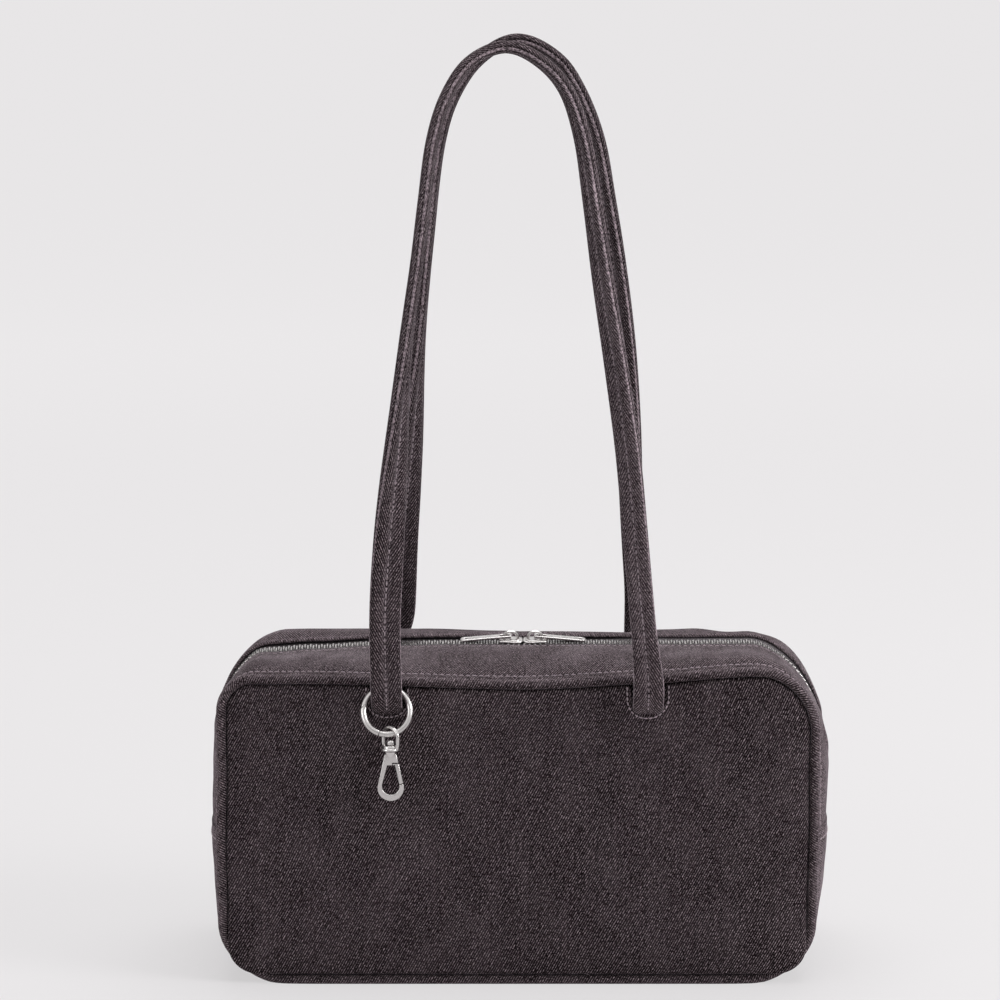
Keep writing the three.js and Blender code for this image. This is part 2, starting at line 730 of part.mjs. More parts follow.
// The joint at the gate's free end slants along the way the gate swings in
const gateSlant = Math.tan((ringGateHinge - ringGateFree) / 2) / ringRadius;

function wireRing(angle, slant) {
  return spread(0, 2 * Math.PI, roundSides).slice(0, -1).map((around) => {
    const out = (ringWire / 2) * Math.cos(around);
    const y = (ringWire / 2) * Math.sin(around);
    const turn = angle + out * slant;
    return new THREE.Vector3((ringRadius + out) * Math.cos(turn), y, (ringRadius + out) * Math.sin(turn));
  });
}

function ringArc(free, hinge) {
  const steps = Math.ceil(Math.abs(hinge - free) / ringFacet);
  return loft(spread(free, hinge, steps).map((angle, i) => wireRing(angle, i === 0 ? gateSlant : 0)));
}

const ringPivotY = -(panelFace - facingDrop + ringSeat);
const ringCentreY = ringPivotY - ringRadius * Math.sin(ringTilt);
const ringPlace = new THREE.Group();
ringPlace.position.set(-handleX, ringCentreY, ringHeight);
ringPlace.rotation.x = -ringTilt;
bag.add(ringPlace);
const gateCut = clearance / ringRadius;
addPart('key_ring', ringArc(ringGateFree, ringGateHinge - 2 * Math.PI), nickel, ringPlace);
addPart('key_ring_gate', ringArc(ringGateFree + gateCut, ringGateHinge - gateCut), nickel, ringPlace);

// Swivel clasp: the eye hangs near the foot of the ring, and the hook turns in the base of the eye.
// Heights are measured down from the middle of the ring's wire.

const eyeHoleTop = ringWire / 2 + eyeSlack;
const eyeTop = eyeHoleTop + eyeBar;
const eyeFloor = eyeHoleTop - eyeHole;
const eyeBottom = eyeFloor - eyeBase;

function archShape(Kind, half, top, bottom) {
  const shape = new Kind();
  shape.moveTo(-half, bottom);
  shape.lineTo(half, bottom);
  shape.absarc(0, top - half, half, 0, Math.PI, false);
  return shape;
}

function claspEye() {
  const shape = archShape(THREE.Shape, eyeWidth / 2, eyeTop, eyeBottom);
  shape.holes.push(archShape(THREE.Path, eyeWidth / 2 - eyeBar, eyeHoleTop, eyeFloor));
  const boreRadius = stemRadius + clearance;
  const bore = new THREE.CylinderGeometry(boreRadius, boreRadius, eyeBase * 2, latheSides);
  bore.rotateX(Math.PI / 2).translate(0, 0, (eyeFloor + eyeBottom) / 2);
  const base = new THREE.CylinderGeometry(collarRadius, collarRadius, eyeBase, latheSides);
  base.rotateX(Math.PI / 2).translate(0, 0, (eyeFloor + eyeBottom) / 2);
  return cut(join(slab(shape, eyeBar), base), bore);
}

// A drop: a round foot drawn up along two tangents to a narrower neck
function dropShape(Kind, footRadius, footZ, neckRadius, neckZ) {
  const lean = Math.asin((footRadius - neckRadius) / (neckZ - footZ));
  const shape = new Kind();
  shape.absarc(0, footZ, footRadius, Math.PI - lean, 2 * Math.PI + lean, false);
  shape.lineTo(neckRadius * Math.cos(lean), neckZ + neckRadius * Math.sin(lean));
  shape.lineTo(-neckRadius * Math.cos(lean), neckZ + neckRadius * Math.sin(lean));
  return shape;
}

const collarTop = eyeBottom - clearance;
const hookTop = collarTop - collarHeight;
const hookBottom = hookTop - hookLength;
const hookHoleBottom = hookBottom + hookFoot;
const hookHoleTop = hookHoleBottom + hookHoleLength;

function hookFrame() {
  const neckRadius = hookNeck / 2;
  const shape = dropShape(THREE.Shape, hookWidth / 2, hookBottom + hookWidth / 2, neckRadius, hookTop);
  const holeRadius = hookHoleWidth / 2;
  const holeNeck = hookHoleNeck / 2;
  const holeFoot = hookHoleBottom + holeRadius;
  shape.holes.push(dropShape(THREE.Path, holeRadius, holeFoot, holeNeck, hookHoleTop - holeNeck));
  return slab(shape, hookThickness);
}

function stem() {
  const headFloor = eyeFloor + clearance;
  const profile = [
    [0, headFloor + stemHeadHeight], [stemHeadRadius * 0.75, headFloor + stemHeadHeight * 0.85],
    [stemHeadRadius, headFloor + stemHeadHeight * 0.45], [stemHeadRadius, headFloor], [stemRadius, headFloor],
    [stemRadius, collarTop], [collarRadius, collarTop], [collarRadius, collarTop - collarHeight / 2],
    [hookNeck * 0.4, hookTop - clearance], [0, hookTop - clearance],
  ];
  const points = profile.map(([radius, z]) => new THREE.Vector2(radius, z));
  return new THREE.LatheGeometry(points.reverse(), latheSides).rotateX(Math.PI / 2);
}

// The gate's foot slants along the way it swings in
function gateTool(trimTop, trimFoot) {
  const top = hookHoleTop - trimTop;
  const foot = hookHoleTop - gateLength + trimFoot;
  const footX = (hookHoleWidth + hookWidth) / 4;
  const slope = (footX - gatePivotX) / (gateLength - gatePivotDrop);
  const shape = new THREE.Shape();
  shape.moveTo(gateInner, top);
  shape.lineTo(hookWidth, top);
  shape.lineTo(hookWidth, foot + (hookWidth - footX) * slope);
  shape.lineTo(gateInner, foot + (gateInner - footX) * slope);
  return slab(shape, hookThickness * 2);
}

const claspPlace = new THREE.Group();
const claspDrop = ringRadius * Math.cos(claspSlip);
claspPlace.position.set(
  -handleX + ringRadius * Math.sin(claspSlip),
  ringCentreY - claspDrop * Math.sin(ringTilt),
  ringHeight - claspDrop * Math.cos(ringTilt),
);
bag.add(claspPlace);
addPart('clasp_eye', claspEye().rotateZ(eyeTurn), nickel, claspPlace);
addPart('clasp_hook', cut(join(hookFrame(), stem()), gateTool(0, 0)), nickel, claspPlace);
addPart('clasp_gate', common(hookFrame(), gateTool(gatePlay, clearance)), nickel, claspPlace);

export default bag;
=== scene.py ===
import math
from contextlib import contextmanager

import bmesh
import bpy
import numpy as np
from mathutils import Matrix, Vector
from mathutils.geometry import delaunay_2d_cdt


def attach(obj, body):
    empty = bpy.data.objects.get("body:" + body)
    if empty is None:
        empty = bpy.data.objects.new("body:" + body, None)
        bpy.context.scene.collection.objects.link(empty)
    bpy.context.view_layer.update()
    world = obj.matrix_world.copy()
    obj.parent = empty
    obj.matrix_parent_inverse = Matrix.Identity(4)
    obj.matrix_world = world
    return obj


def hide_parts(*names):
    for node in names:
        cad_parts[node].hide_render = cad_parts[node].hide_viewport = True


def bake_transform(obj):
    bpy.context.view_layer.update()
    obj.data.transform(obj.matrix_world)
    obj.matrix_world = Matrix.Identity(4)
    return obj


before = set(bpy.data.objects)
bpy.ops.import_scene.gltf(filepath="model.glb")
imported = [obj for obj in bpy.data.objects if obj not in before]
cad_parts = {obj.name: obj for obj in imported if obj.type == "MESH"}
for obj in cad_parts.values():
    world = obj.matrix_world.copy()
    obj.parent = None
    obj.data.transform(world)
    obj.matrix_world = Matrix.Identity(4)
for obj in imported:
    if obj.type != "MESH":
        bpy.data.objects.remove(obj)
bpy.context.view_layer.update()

bl_info = {
    "name": "Denim Bowler Bag",
    "version": (1, 0, 0),
    "blender": (4, 5, 0),
    "location": "View3D > Sidebar > Bowler Bag",
    "description": "Builds a zipped denim bowler bag with straps, a spring ring and a swivel clasp",
    "category": "Add Mesh",
}

MM = 0.001
FRONT, BACK = -1, 1


def linear(code):
    """A six-figure sRGB hex value as linear red, green and blue."""
    shares = [int(code[i:i + 2], 16) / 255 for i in (0, 2, 4)]
    return tuple(c / 12.92 if c <= 0.04045 else ((c + 0.055) / 1.055) ** 2.4 for c in shares)


def length(name, description, millimetres):
    """A size, given in millimetres and kept in metres."""
    return bpy.props.FloatProperty(
        name=name, description=description, default=millimetres * MM, unit="LENGTH", precision=5)


def turn(name, description, degrees):
    """An angle, given in degrees and kept in radians."""
    return bpy.props.FloatProperty(
        name=name, description=description, default=math.radians(degrees), unit="ROTATION")


def portion(name, description, value):
    """A share between 0 and 1."""
    return bpy.props.FloatProperty(
        name=name, description=description, default=value, subtype="FACTOR", min=0, max=1)


def colour(name, description, code):
    """A colour, given as a six-figure sRGB hex value."""
    return bpy.props.FloatVectorProperty(
        name=name, description=description, default=linear(code), subtype="COLOR", size=3, min=0, max=1)


class BodySizes(bpy.types.PropertyGroup):
    width_top: length("Top width", "Width of the panel seam at the top", 294)
    width_base: length("Base width", "Width of the panel seam at the base", 289)
    seam_low: length("Lower seam", "Height of the panel seam at the base", 1.8)
    seam_high: length("Upper seam", "Height of the panel seam at the top", 153.5)
    depth: length("Depth", "Distance between the front and the back seam", 104)
    left_radius: length("Left corner", "Radius of the front panel's upper left corner", 15)
    right_radius: length("Right corner", "Radius of the front panel's upper right corner", 28)
    back_left_radius: length("Back left corner", "Radius of the back panel's corner over the clasp", 33)
    back_right_radius: length("Back right corner", "Radius of the back panel's other upper corner", 29)
    base_radius: length("Base corners", "Radius of a panel's lower corners", 16.5)
    tuck_radius: length("Tucked corners", "Radius of the seam under a panel's lower corners", 30)
    side_seam: length("Side seam", "Height where the zip strips meet the base strip", 78)
    gusset_seat: length("Gusset seat", "Height of the gusset's edge over the seam line", 0.6)
    gusset_crown: length("Gusset crown", "Swell of the gusset between the two seams", 7)
    panel_seat: length("Panel seat", "Height of the panel's edge over the seam line", 0.4)
    panel_crown: length("Panel crown", "Swell of a panel over its edge", 3)
    panel_cloth: length("Panel cloth", "Thickness of a panel with its backing", 2)
    welt_radius: length("Welt", "Radius of the rolled welt round each panel", 2.4)
    stitch_inset: length("Stitch line", "Distance of the top stitching from the seam", 5.2)
    lining_gap: length("Lining gap", "Distance of the lining from the outer cloth", 3)


class HandleSizes(bpy.types.PropertyGroup):
    spread: length("Spread", "Distance between the feet of a handle", 127)
    rise: length("Rise", "Height of a handle over its bend", 305)
    hinge: length("Bend height", "Height where a handle bends over the seam", 154)
    width: length("Width", "Width of the folded strap", 15.2)
    thickness: length("Thickness", "Thickness of the folded strap", 5.9)
    stand_off: length("Stand-off", "Distance of the strap's foot from the middle of the bag", 64.9)
    meet: length("Meeting", "Distance of the strap's top from the middle of the bag", 9.5)
    twist: turn("Twist", "How far the strap turns on its way up", 86)
    right_share: portion("Right leg", "Width of a strap's right leg as a share of its left one", 0.8)
    end_width: length("End width", "Width of the strap in its notch", 15)
    end_thickness: length("End thickness", "Thickness of the strap in its notch", 4.6)
    end_length: length("End length", "Length of the strap below its bend", 17.5)
    notch_width: length("Notch width", "Width of the notch in the panel", 16.6)
    notch_radius: length("Notch radius", "Radius of the notch's lower corners", 7.6)


class ZipSizes(bpy.types.PropertyGroup):
    front_fold: length("Front fold", "Distance of the front strip's folded edge from the middle", 4.8)
    back_fold: length("Back fold", "Distance of the back strip's folded edge from the middle", 5.0)
    back_swell: length("Back swell", "How far the back strip stands up behind the zip", 1.9)
    pitch: length("Tooth pitch", "Distance between teeth on one row", 2.7)
    tooth_reach: length("Tooth reach", "How far a tooth reaches past the middle", 1.1)
    tooth_thickness: length("Tooth thickness", "Height of the chain", 2.4)
    tooth_proud: length("Tooth proud", "Height of the teeth over the crown of the gusset", 0.1)
    comb_edge: length("Cord", "Distance of the cord's outer edge from the middle", 2.7)
    tape_reach: length("Tape reach", "Distance of the tape's outer edge from the middle", 14)
    slider_meet: length("Sliders", "Place along the zip where the two sliders meet", 3)
    slider_length: length("Slider length", "Length of a slider", 12)
    nose_width: length("Nose width", "Width of a slider at its nose", 9)
    tail_width: length("Tail width", "Width of a slider at its tail", 7.4)
    plate: length("Plate", "Thickness of a slider's plates", 1.1)
    pull_length: length("Pull length", "Length of a pull", 26)
    pull_width: length("Pull width", "Width of a pull", 5)
    pull_thickness: length("Pull thickness", "Thickness of a pull", 1.2)
    pull_droop: turn("Pull droop", "How far a pull lies down from level", 5.1)
    slider_lean: turn("Slider lean", "How far the sliders lean to the front, as the chain does", 8)


class HardwareSizes(bpy.types.PropertyGroup):
    ring_diameter: length("Ring", "Outer diameter of the spring ring", 25.4)
    ring_wire: length("Ring wire", "Thickness of the ring's wire", 2.8)
    ring_tilt: turn("Ring tilt", "How far the ring leans out from the panel", 22)
    ring_pivot_y: length("Ring pivot depth", "Where the ring's upper side lies, front to back", -54.5)
    ring_pivot_z: length("Ring pivot height", "Height of the ring's upper side", 149.4)
    gate_free: turn("Gate end", "Angle of the gate's free end on the ring", 168)
    gate_hinge: turn("Gate hinge", "Angle of the gate's hinge on the ring", 252)
    eye_width: length("Eye width", "Outer width of the clasp's eye", 12)
    eye_bar: length("Eye rod", "Thickness of the eye's rod", 1.9)
    eye_turn: turn("Eye turn", "How far the eye is turned on its swivel", -44)
    clasp_slip: turn("Clasp slip", "How far the clasp hangs from the ring's lowest point", 9.7)
    hook_length: length("Hook length", "Length of the hook below its collar", 22.6)
    hook_width: length("Hook width", "Width of the hook's foot", 13)
    hook_thickness: length("Hook thickness", "Thickness of the hook's plate", 3)


class Finishes(bpy.types.PropertyGroup):
    warp_dark: colour("Warp", "Darkest warp thread of the denim", "070405")
    warp_pale: colour("Washed warp", "Palest warp thread of the denim", "1a1215")
    weft: colour("Weft", "Pale weft thread of the denim", "cbb9bf")
    thread: colour("Stitching", "Thread of the top stitching", "a8989f")
    lining: colour("Lining", "Woven cotton lining", "3d383b")
    tape: colour("Zip tape", "Woven zip tape", "2a2628")
    nickel: colour("Nickel", "Satin nickel of the hardware", "cfcbca")
    floor: colour("Floor", "Studio floor", "e8e6e7")


class BowlerBag(bpy.types.PropertyGroup):
    body: bpy.props.PointerProperty(type=BodySizes)
    handle: bpy.props.PointerProperty(type=HandleSizes)
    zip: bpy.props.PointerProperty(type=ZipSizes)
    hardware: bpy.props.PointerProperty(type=HardwareSizes)
    finish: bpy.props.PointerProperty(type=Finishes)


# Curves and fields

def smooth(low, high, value):
    """Rises from 0 to 1 between two values, level at both."""
    share = np.clip((value - low) / (high - low), 0, 1)
    return share * share * (3 - 2 * share)


def hump(value, centre, width):
    """A soft hump of height 1 round a centre."""
    return np.exp(-((value - centre) / width) ** 2)


def blend_through(at, table):
    """A smooth curve through the pairs of a table, level at each."""
    places, values = np.array(table, float).T
    i = np.clip(np.searchsorted(places, at) - 1, 0, len(places) - 2)
    share = smooth(0, 1, (at - places[i]) / (places[i + 1] - places[i]))
    return values[i] + (values[i + 1] - values[i]) * share


def sampled(at, s, values):
    """The values along a line, at some distances along it."""
    return np.stack([np.interp(at, s, column) for column in values.T], -1)


def fillet(before, at, after, radius, count):
    """Points along the arc that rounds one corner."""
    back = (before - at) / np.linalg.norm(before - at)
    on = (after - at) / np.linalg.norm(after - at)
    half = math.acos(float(back @ on)) / 2
    inward = (back + on) / np.linalg.norm(back + on)
    centre = at + inward * radius / math.sin(half)
    start = at + back * radius / math.tan(half) - centre
    end = at + on * radius / math.tan(half) - centre
    first = math.atan2(start[1], start[0])
    sweep = (math.atan2(end[1], end[0]) - first + math.pi) % (2 * math.pi) - math.pi
    angles = first + sweep * np.linspace(0, 1, count + 1)
    return centre + radius * np.stack([np.cos(angles), np.sin(angles)], 1)


def rounded_run(corners, radii, counts):
    """A line with its two corners rounded, and its outward normals."""
    begin, first, second, finish = (np.array(c, float) for c in corners)
    one = fillet(begin, first, second, radii[0], counts[1])
    two = fillet(first, second, finish, radii[1], counts[1])

    def straight(a, b, count):
        return a + (b - a) * np.linspace(0, 1, count + 1)[:, None]

    legs = [straight(begin, one[0], counts[0]), one, straight(one[-1], two[0], counts[2]), two,
            straight(two[-1], finish, counts[0])]
    points = np.concatenate([leg[:-1] for leg in legs] + [finish[None]])
    return points, outward(points)


def outward(points, closed=False):
    """The normals of a line in x and z, to the left of its run."""
    if closed:
        along = np.roll(points, -1, 0) - np.roll(points, 1, 0)
    else:
        along = np.gradient(points, axis=0)
    along /= np.linalg.norm(along, axis=1)[:, None]
    return np.stack([-along[:, 1], along[:, 0]], 1)


def travelled(points):
    """The distance along a line at each of its points."""
    steps = np.linalg.norm(np.diff(points, axis=0), axis=1)
    return np.concatenate([[0], np.cumsum(steps)])


def body_runs(b, base):
    """The seam line above and below the side seams, for the front and the back panel."""
    def half(z):
        share = (z - b.seam_low) / (b.seam_high - b.seam_low)
        return (b.width_base + (b.width_top - b.width_base) * share) / 2

    def run(z, side, radii, counts):
        corners = [(-side * half(b.side_seam), b.side_seam), (-side * half(z), z),
                   (side * half(z), z), (side * half(b.side_seam), b.side_seam)]
        return rounded_run(corners, radii, counts)

    upper_counts, lower_counts = (22, 18, 110), (24, 14, 100)
    upper = (run(b.seam_high, 1, (b.left_radius, b.right_radius), upper_counts),
             run(b.seam_high, 1, (b.back_left_radius, b.back_right_radius), upper_counts))
    lower = (run(b.seam_low, -1, (base, base), lower_counts),) * 2
    return {"upper": upper, "lower": lower}


def panel_loop(b, side, base):
    """The closed seam line round a panel, with its outward normals."""
    runs = body_runs(b, base)
    pick = 0 if side == FRONT else 1
    points = np.concatenate([runs["upper"][pick][0][:-1], runs["lower"][pick][0][:-1]])
    return points, outward(points, closed=True)


# How full the gusset's sides are: heights in millimetres, with the share of the full crown there
LEFT_SIDE = ((0, 0.5), (25, 0.5), (50, 0.66), (85, 1.05), (105, 0.95), (125, 0.75), (140, 0.4), (155, 0.25))
RIGHT_SIDE = ((0, 0.5), (25, 0.55), (50, 1.0), (85, 1.36), (105, 1.4), (125, 0.85), (140, 0.7), (155, 0.6))


def gusset_points(b, run, across, below):
    """Points on the gusset: one row for each station of the run, one column for each place across."""
    flattened, corner_dip, seam_pinch, pinch_width = 0.75, 0.0026, 0.0011, 0.009
    across, below = np.broadcast_arrays(np.asarray(across, float), np.asarray(below, float))
    depth = b.depth / 2
    share = ((across + depth) / (2 * depth))[None, :, None]
    (front, front_out), (back, back_out) = run
    point = front[:, None] * (1 - share) + back[:, None] * share
    normal = front_out[:, None] * (1 - share) + back_out[:, None] * share
    normal = normal / np.linalg.norm(normal, axis=2)[..., None]
    x, z, out_x, out_z = point[..., 0], point[..., 1], normal[..., 0], normal[..., 1]
    sole = np.where(out_z < 0, out_z ** 2, 0)
    corner = 2 * np.abs(out_x * out_z)
    crown = b.gusset_crown + (b.seam_low - b.gusset_seat - b.gusset_crown) * sole - corner_dip * corner
    full = np.where(x < 0, blend_through(z / MM, LEFT_SIDE), blend_through(z / MM, RIGHT_SIDE))
    crown = crown * (1 + (full - 1) * out_x ** 2)
    flat = flattened * sole
    fall = np.clip(np.abs(across)[None] / depth - flat, 0, None) / (1 - flat)
    pinch = seam_pinch * hump(z, b.side_seam, pinch_width) * (1 - sole)
    height = b.gusset_seat + crown * (1 - fall ** 4) - below[None] - pinch * (1 - fall ** 2)
    y = np.broadcast_to(across[None], height.shape)
    return np.stack([x + out_x * height, y, z + out_z * height], 2)


def ripple(points):
    """The slow unevenness of worn cloth, the same for every piece that is sewn together."""
    waves, shortest, longest, strength = 10, 0.032, 0.085, 0.00013
    rng = np.random.default_rng(11)
    moved = np.zeros_like(points)
    for _ in range(waves):
        wave = rng.normal(size=3)
        wave *= 2 * math.pi / (rng.uniform(shortest, longest) * np.linalg.norm(wave))
        push = rng.normal(size=3) * strength
        moved += np.sin(points @ wave + rng.uniform(0, 6.28))[..., None] * push
    return moved


# How far the settled body sags or swells: places across the bag, with the height there, in millimetres
FRONT_SEAM_SAG = ((-160, 0), (-110, -0.8), (-63.5, -1.2), (0, -2.6), (63.5, -0.4), (115, 3.2), (160, 0.5))
CHAIN_SAG = ((-160, 0), (-135, -1), (-122, -3.4), (-102, -1.8), (-73.5, 0), (-35, 0.3), (50, 0.2),
             (75, 0.6), (100, 0.9), (120, 0.9), (140, 0.4), (160, -1))
BACK_STRIP_SAG = ((-160, 0), (-100, 0.6), (-47, -0.3), (-10, -1.3), (20, -2.5), (45, -2.6), (75, -0.2),
                  (90, 0.2), (108, -1.8), (122, -1.4), (140, 1.4), (160, 1))


def slump(points):
    """How the soft body has settled: the front seam and the cloth behind the zip sag, the zip dips at
    its ends and leans to the front, and the sides draw in."""
    x, y, z = points[..., 0], points[..., 1], points[..., 2]
    seam, chain, ridge = (MM * blend_through(x / MM, table)
                          for table in (FRONT_SEAM_SAG, CHAIN_SAG, BACK_STRIP_SAG))
    top = smooth(0.118, 0.150, z)
    front = 1 - smooth(-0.045, -0.012, y)
    behind = smooth(0.008, 0.02, y) * (1 - smooth(0.036, 0.05, y))
    valley = hump(y, -0.004, 0.024)
    lean = (2 * smooth(-0.008, 0.008, y) - 1) * (1 - smooth(0.014, 0.042, np.abs(y)))
    high = smooth(0.03, 0.15, z)
    left, right = smooth(0.110, 0.145, -x), smooth(0.110, 0.145, x)
    moved = points + ripple(points) * smooth(0.0, 0.012, z)[..., None]
    moved[..., 0] += high * (0.0024 * left - 0.001 * right)
    moved[..., 2] += top * (front * seam + behind * ridge + valley * chain + 0.0009 * lean)
    return moved


# Meshes

def new_piece(name, data):
    """A new object in the scene, round its data."""
    piece = bpy.data.objects.new(name, data)
    bpy.context.scene.collection.objects.link(piece)
    return piece


def make_mesh(name, points, faces, uvs=None, wear_and_painted_light=None):
    """A new object from points in metres, with the weave map in metres, and the wear together with the
    painted highlights as an attribute.
    """
    mesh = bpy.data.meshes.new(name)
    mesh.from_pydata(np.asarray(points).reshape(-1, 3).tolist(), [], faces)
    if uvs is not None:
        layer = mesh.uv_layers.new(name="Weave")
        layer.data.foreach_set("uv", np.asarray(uvs, np.float32).ravel())
    if wear_and_painted_light is not None:
        attribute = mesh.attributes.new("wear_and_painted_light", "FLOAT", "POINT")
        attribute.data.foreach_set("value", np.asarray(wear_and_painted_light, np.float32).ravel())
    mesh.polygons.foreach_set("use_smooth", [True] * len(mesh.polygons))
    mesh.update()
    return new_piece(name, mesh)


def ring_quads(rings, sides):
    """The faces between rings of points, each ring closed."""
    return [(r * sides + k, r * sides + (k + 1) % sides, (r + 1) * sides + (k + 1) % sides,
             (r + 1) * sides + k) for r in range(rings - 1) for k in range(sides)]


def repeated(faces, size, count):
    """The faces of one small shape, again for each of its copies."""
    return [tuple(v + n * size for v in face) for n in range(count) for face in faces]


def loft(name, grid, uv, loop=False, tube=False, caps=False, wear_and_painted_light=None):
    """A skin over a grid of points. loop closes it along its rows, tube across them."""
    rows, columns = grid.shape[:2]
    bands, strips = rows if loop else rows - 1, columns if tube else columns - 1
    i, j = (axis.ravel() for axis in np.meshgrid(np.arange(bands), np.arange(strips), indexing="ij"))
    near, far = (i % rows) * columns, ((i + 1) % rows) * columns
    left, right = j % columns, (j + 1) % columns
    faces = np.stack([near + left, near + right, far + right, far + left], 1).tolist()
    uvs = np.stack([uv[i, j], uv[i, j + 1], uv[i + 1, j + 1], uv[i + 1, j]], 1).reshape(-1, 2).tolist()
    if caps:
        for row, order in ((0, range(columns - 1, -1, -1)), (rows - 1, range(columns))):
            faces.append([row * columns + k for k in order])
            uvs += [tuple(uv[row, k]) for k in order]
    return make_mesh(name, grid, faces, uvs, wear_and_painted_light)


def face_out(piece):
    """Turns an open skin so that it faces away from the middle of the bag."""
    middle = Vector((0, 0, 0.078))
    lean = sum((p.center - middle).dot(p.normal) * p.area for p in piece.data.polygons)
    if lean < 0:
        piece.data.flip_normals()
    return piece


def select_only(piece):
    """Selects one piece, in object mode, and makes it the active one."""
    if bpy.context.object and bpy.context.object.mode != "OBJECT":
        bpy.ops.object.mode_set(mode="OBJECT")
    bpy.ops.object.select_all(action="DESELECT")
    piece.select_set(True)
    bpy.context.view_layer.objects.active = piece
    return piece


@contextmanager
def edit_mode(piece):
    """Edit mode on one piece, with all of it selected."""
    select_only(piece)
    bpy.ops.object.mode_set(mode="EDIT")
    bpy.ops.mesh.select_all(action="SELECT")
    yield
    bpy.ops.object.mode_set(mode="OBJECT")


def close_normals(piece, merge=1e-6):
    """Merges doubles and turns the faces of a closed piece outwards."""
    with edit_mode(piece):
        bpy.ops.mesh.remove_doubles(threshold=merge)
        bpy.ops.mesh.normals_make_consistent(inside=False)
    return piece


def finish_with(piece, kind, **settings):
    """Adds one modifier and applies it."""
    select_only(piece)
    modifier = piece.modifiers.new(kind.title(), kind)
    for key, value in settings.items():
        setattr(modifier, key, value)
    bpy.ops.object.modifier_apply(modifier=modifier.name)
    return piece


def thicken(piece, thickness):
    """Gives a skin its thickness, on the inner side."""
    return finish_with(piece, "SOLIDIFY", thickness=thickness, offset=-1, use_even_offset=True)


def dress(piece, material, slot, body, *nodes):
    """Gives a finished piece its material, hides the CAD nodes that it stands in for, and puts it on the
    body that it rides on.
    """
    piece.data.materials.clear()
    piece.data.materials.append(material)
    if nodes:
        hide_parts(*nodes)
    if body:
        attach(piece, body)
    return piece


# One stitch: places along it, with the thread's thickness and height there as shares of its radius
STITCH = ((0.0, 0.25, -0.6), (0.12, 0.8, -0.1), (0.5, 1.0, 0.35), (0.88, 0.8, -0.1), (1.0, 0.25, -0.6))


def stitch_row(name, path, normals, pitch=0.0032, stitch=0.0025, radius=0.00034):
    """A row of thread stitches, each a small rounded dash that lies along the path."""
    s = travelled(path)
    count = max(1, int(s[-1] / pitch))
    middles = (np.arange(count) + 0.5) * s[-1] / count
    out = sampled(middles, s, normals)
    out /= np.linalg.norm(out, axis=1)[:, None]
    start, end = sampled(middles - stitch / 2, s, path), sampled(middles + stitch / 2, s, path)
    run = (end - start) / np.linalg.norm(end - start, axis=1)[:, None]
    side = np.cross(run, out)
    out = np.cross(side, run)
    sides, rings = 6, len(STITCH)
    points = []
    for place, size, lift in STITCH:
        centre = start + (end - start) * place + out * radius * lift
        for k in range(sides):
            angle = 2 * math.pi * k / sides
            points.append(centre + radius * size * (math.cos(angle) * side + math.sin(angle) * out))
    points = np.stack(points, 1).reshape(-1, 3)
    size = rings * sides
    one = ring_quads(rings, sides) + [tuple(range(sides - 1, -1, -1)), tuple(range(size - sides, size))]
    return make_mesh(name, points, repeated(one, size, count))


# Materials

def connect(tree, node, inputs):
    """Sets inputs by number or name: a node or a socket is linked, any other value is fixed."""
    for key, value in inputs.items():
        if isinstance(value, bpy.types.Node):
            value = value.outputs[0]
        if isinstance(value, bpy.types.NodeSocket):
            tree.links.new(value, node.inputs[key])
        else:
            node.inputs[key].default_value = value


def add(tree, kind, inputs=None, **settings):
    """One shader node with its settings and its inputs."""
    node = tree.nodes.new("ShaderNode" + kind)
    for key, value in settings.items():
        setattr(node, key, value)
    connect(tree, node, inputs or {})
    return node


def opaque(colour, share=1.0):
    """A colour made darker or paler by a share, with full alpha."""
    return (*(min(1, c * share) for c in colour), 1)


def blank_material(name):
    """A material with its tree and shader, or with neither if an earlier piece has already made it."""
    found = bpy.data.materials.get(name)
    if found:
        return found, None, None
    material = bpy.data.materials.new(name)
    material.use_nodes = True
    tree = material.node_tree
    return material, tree, tree.nodes["Principled BSDF"]


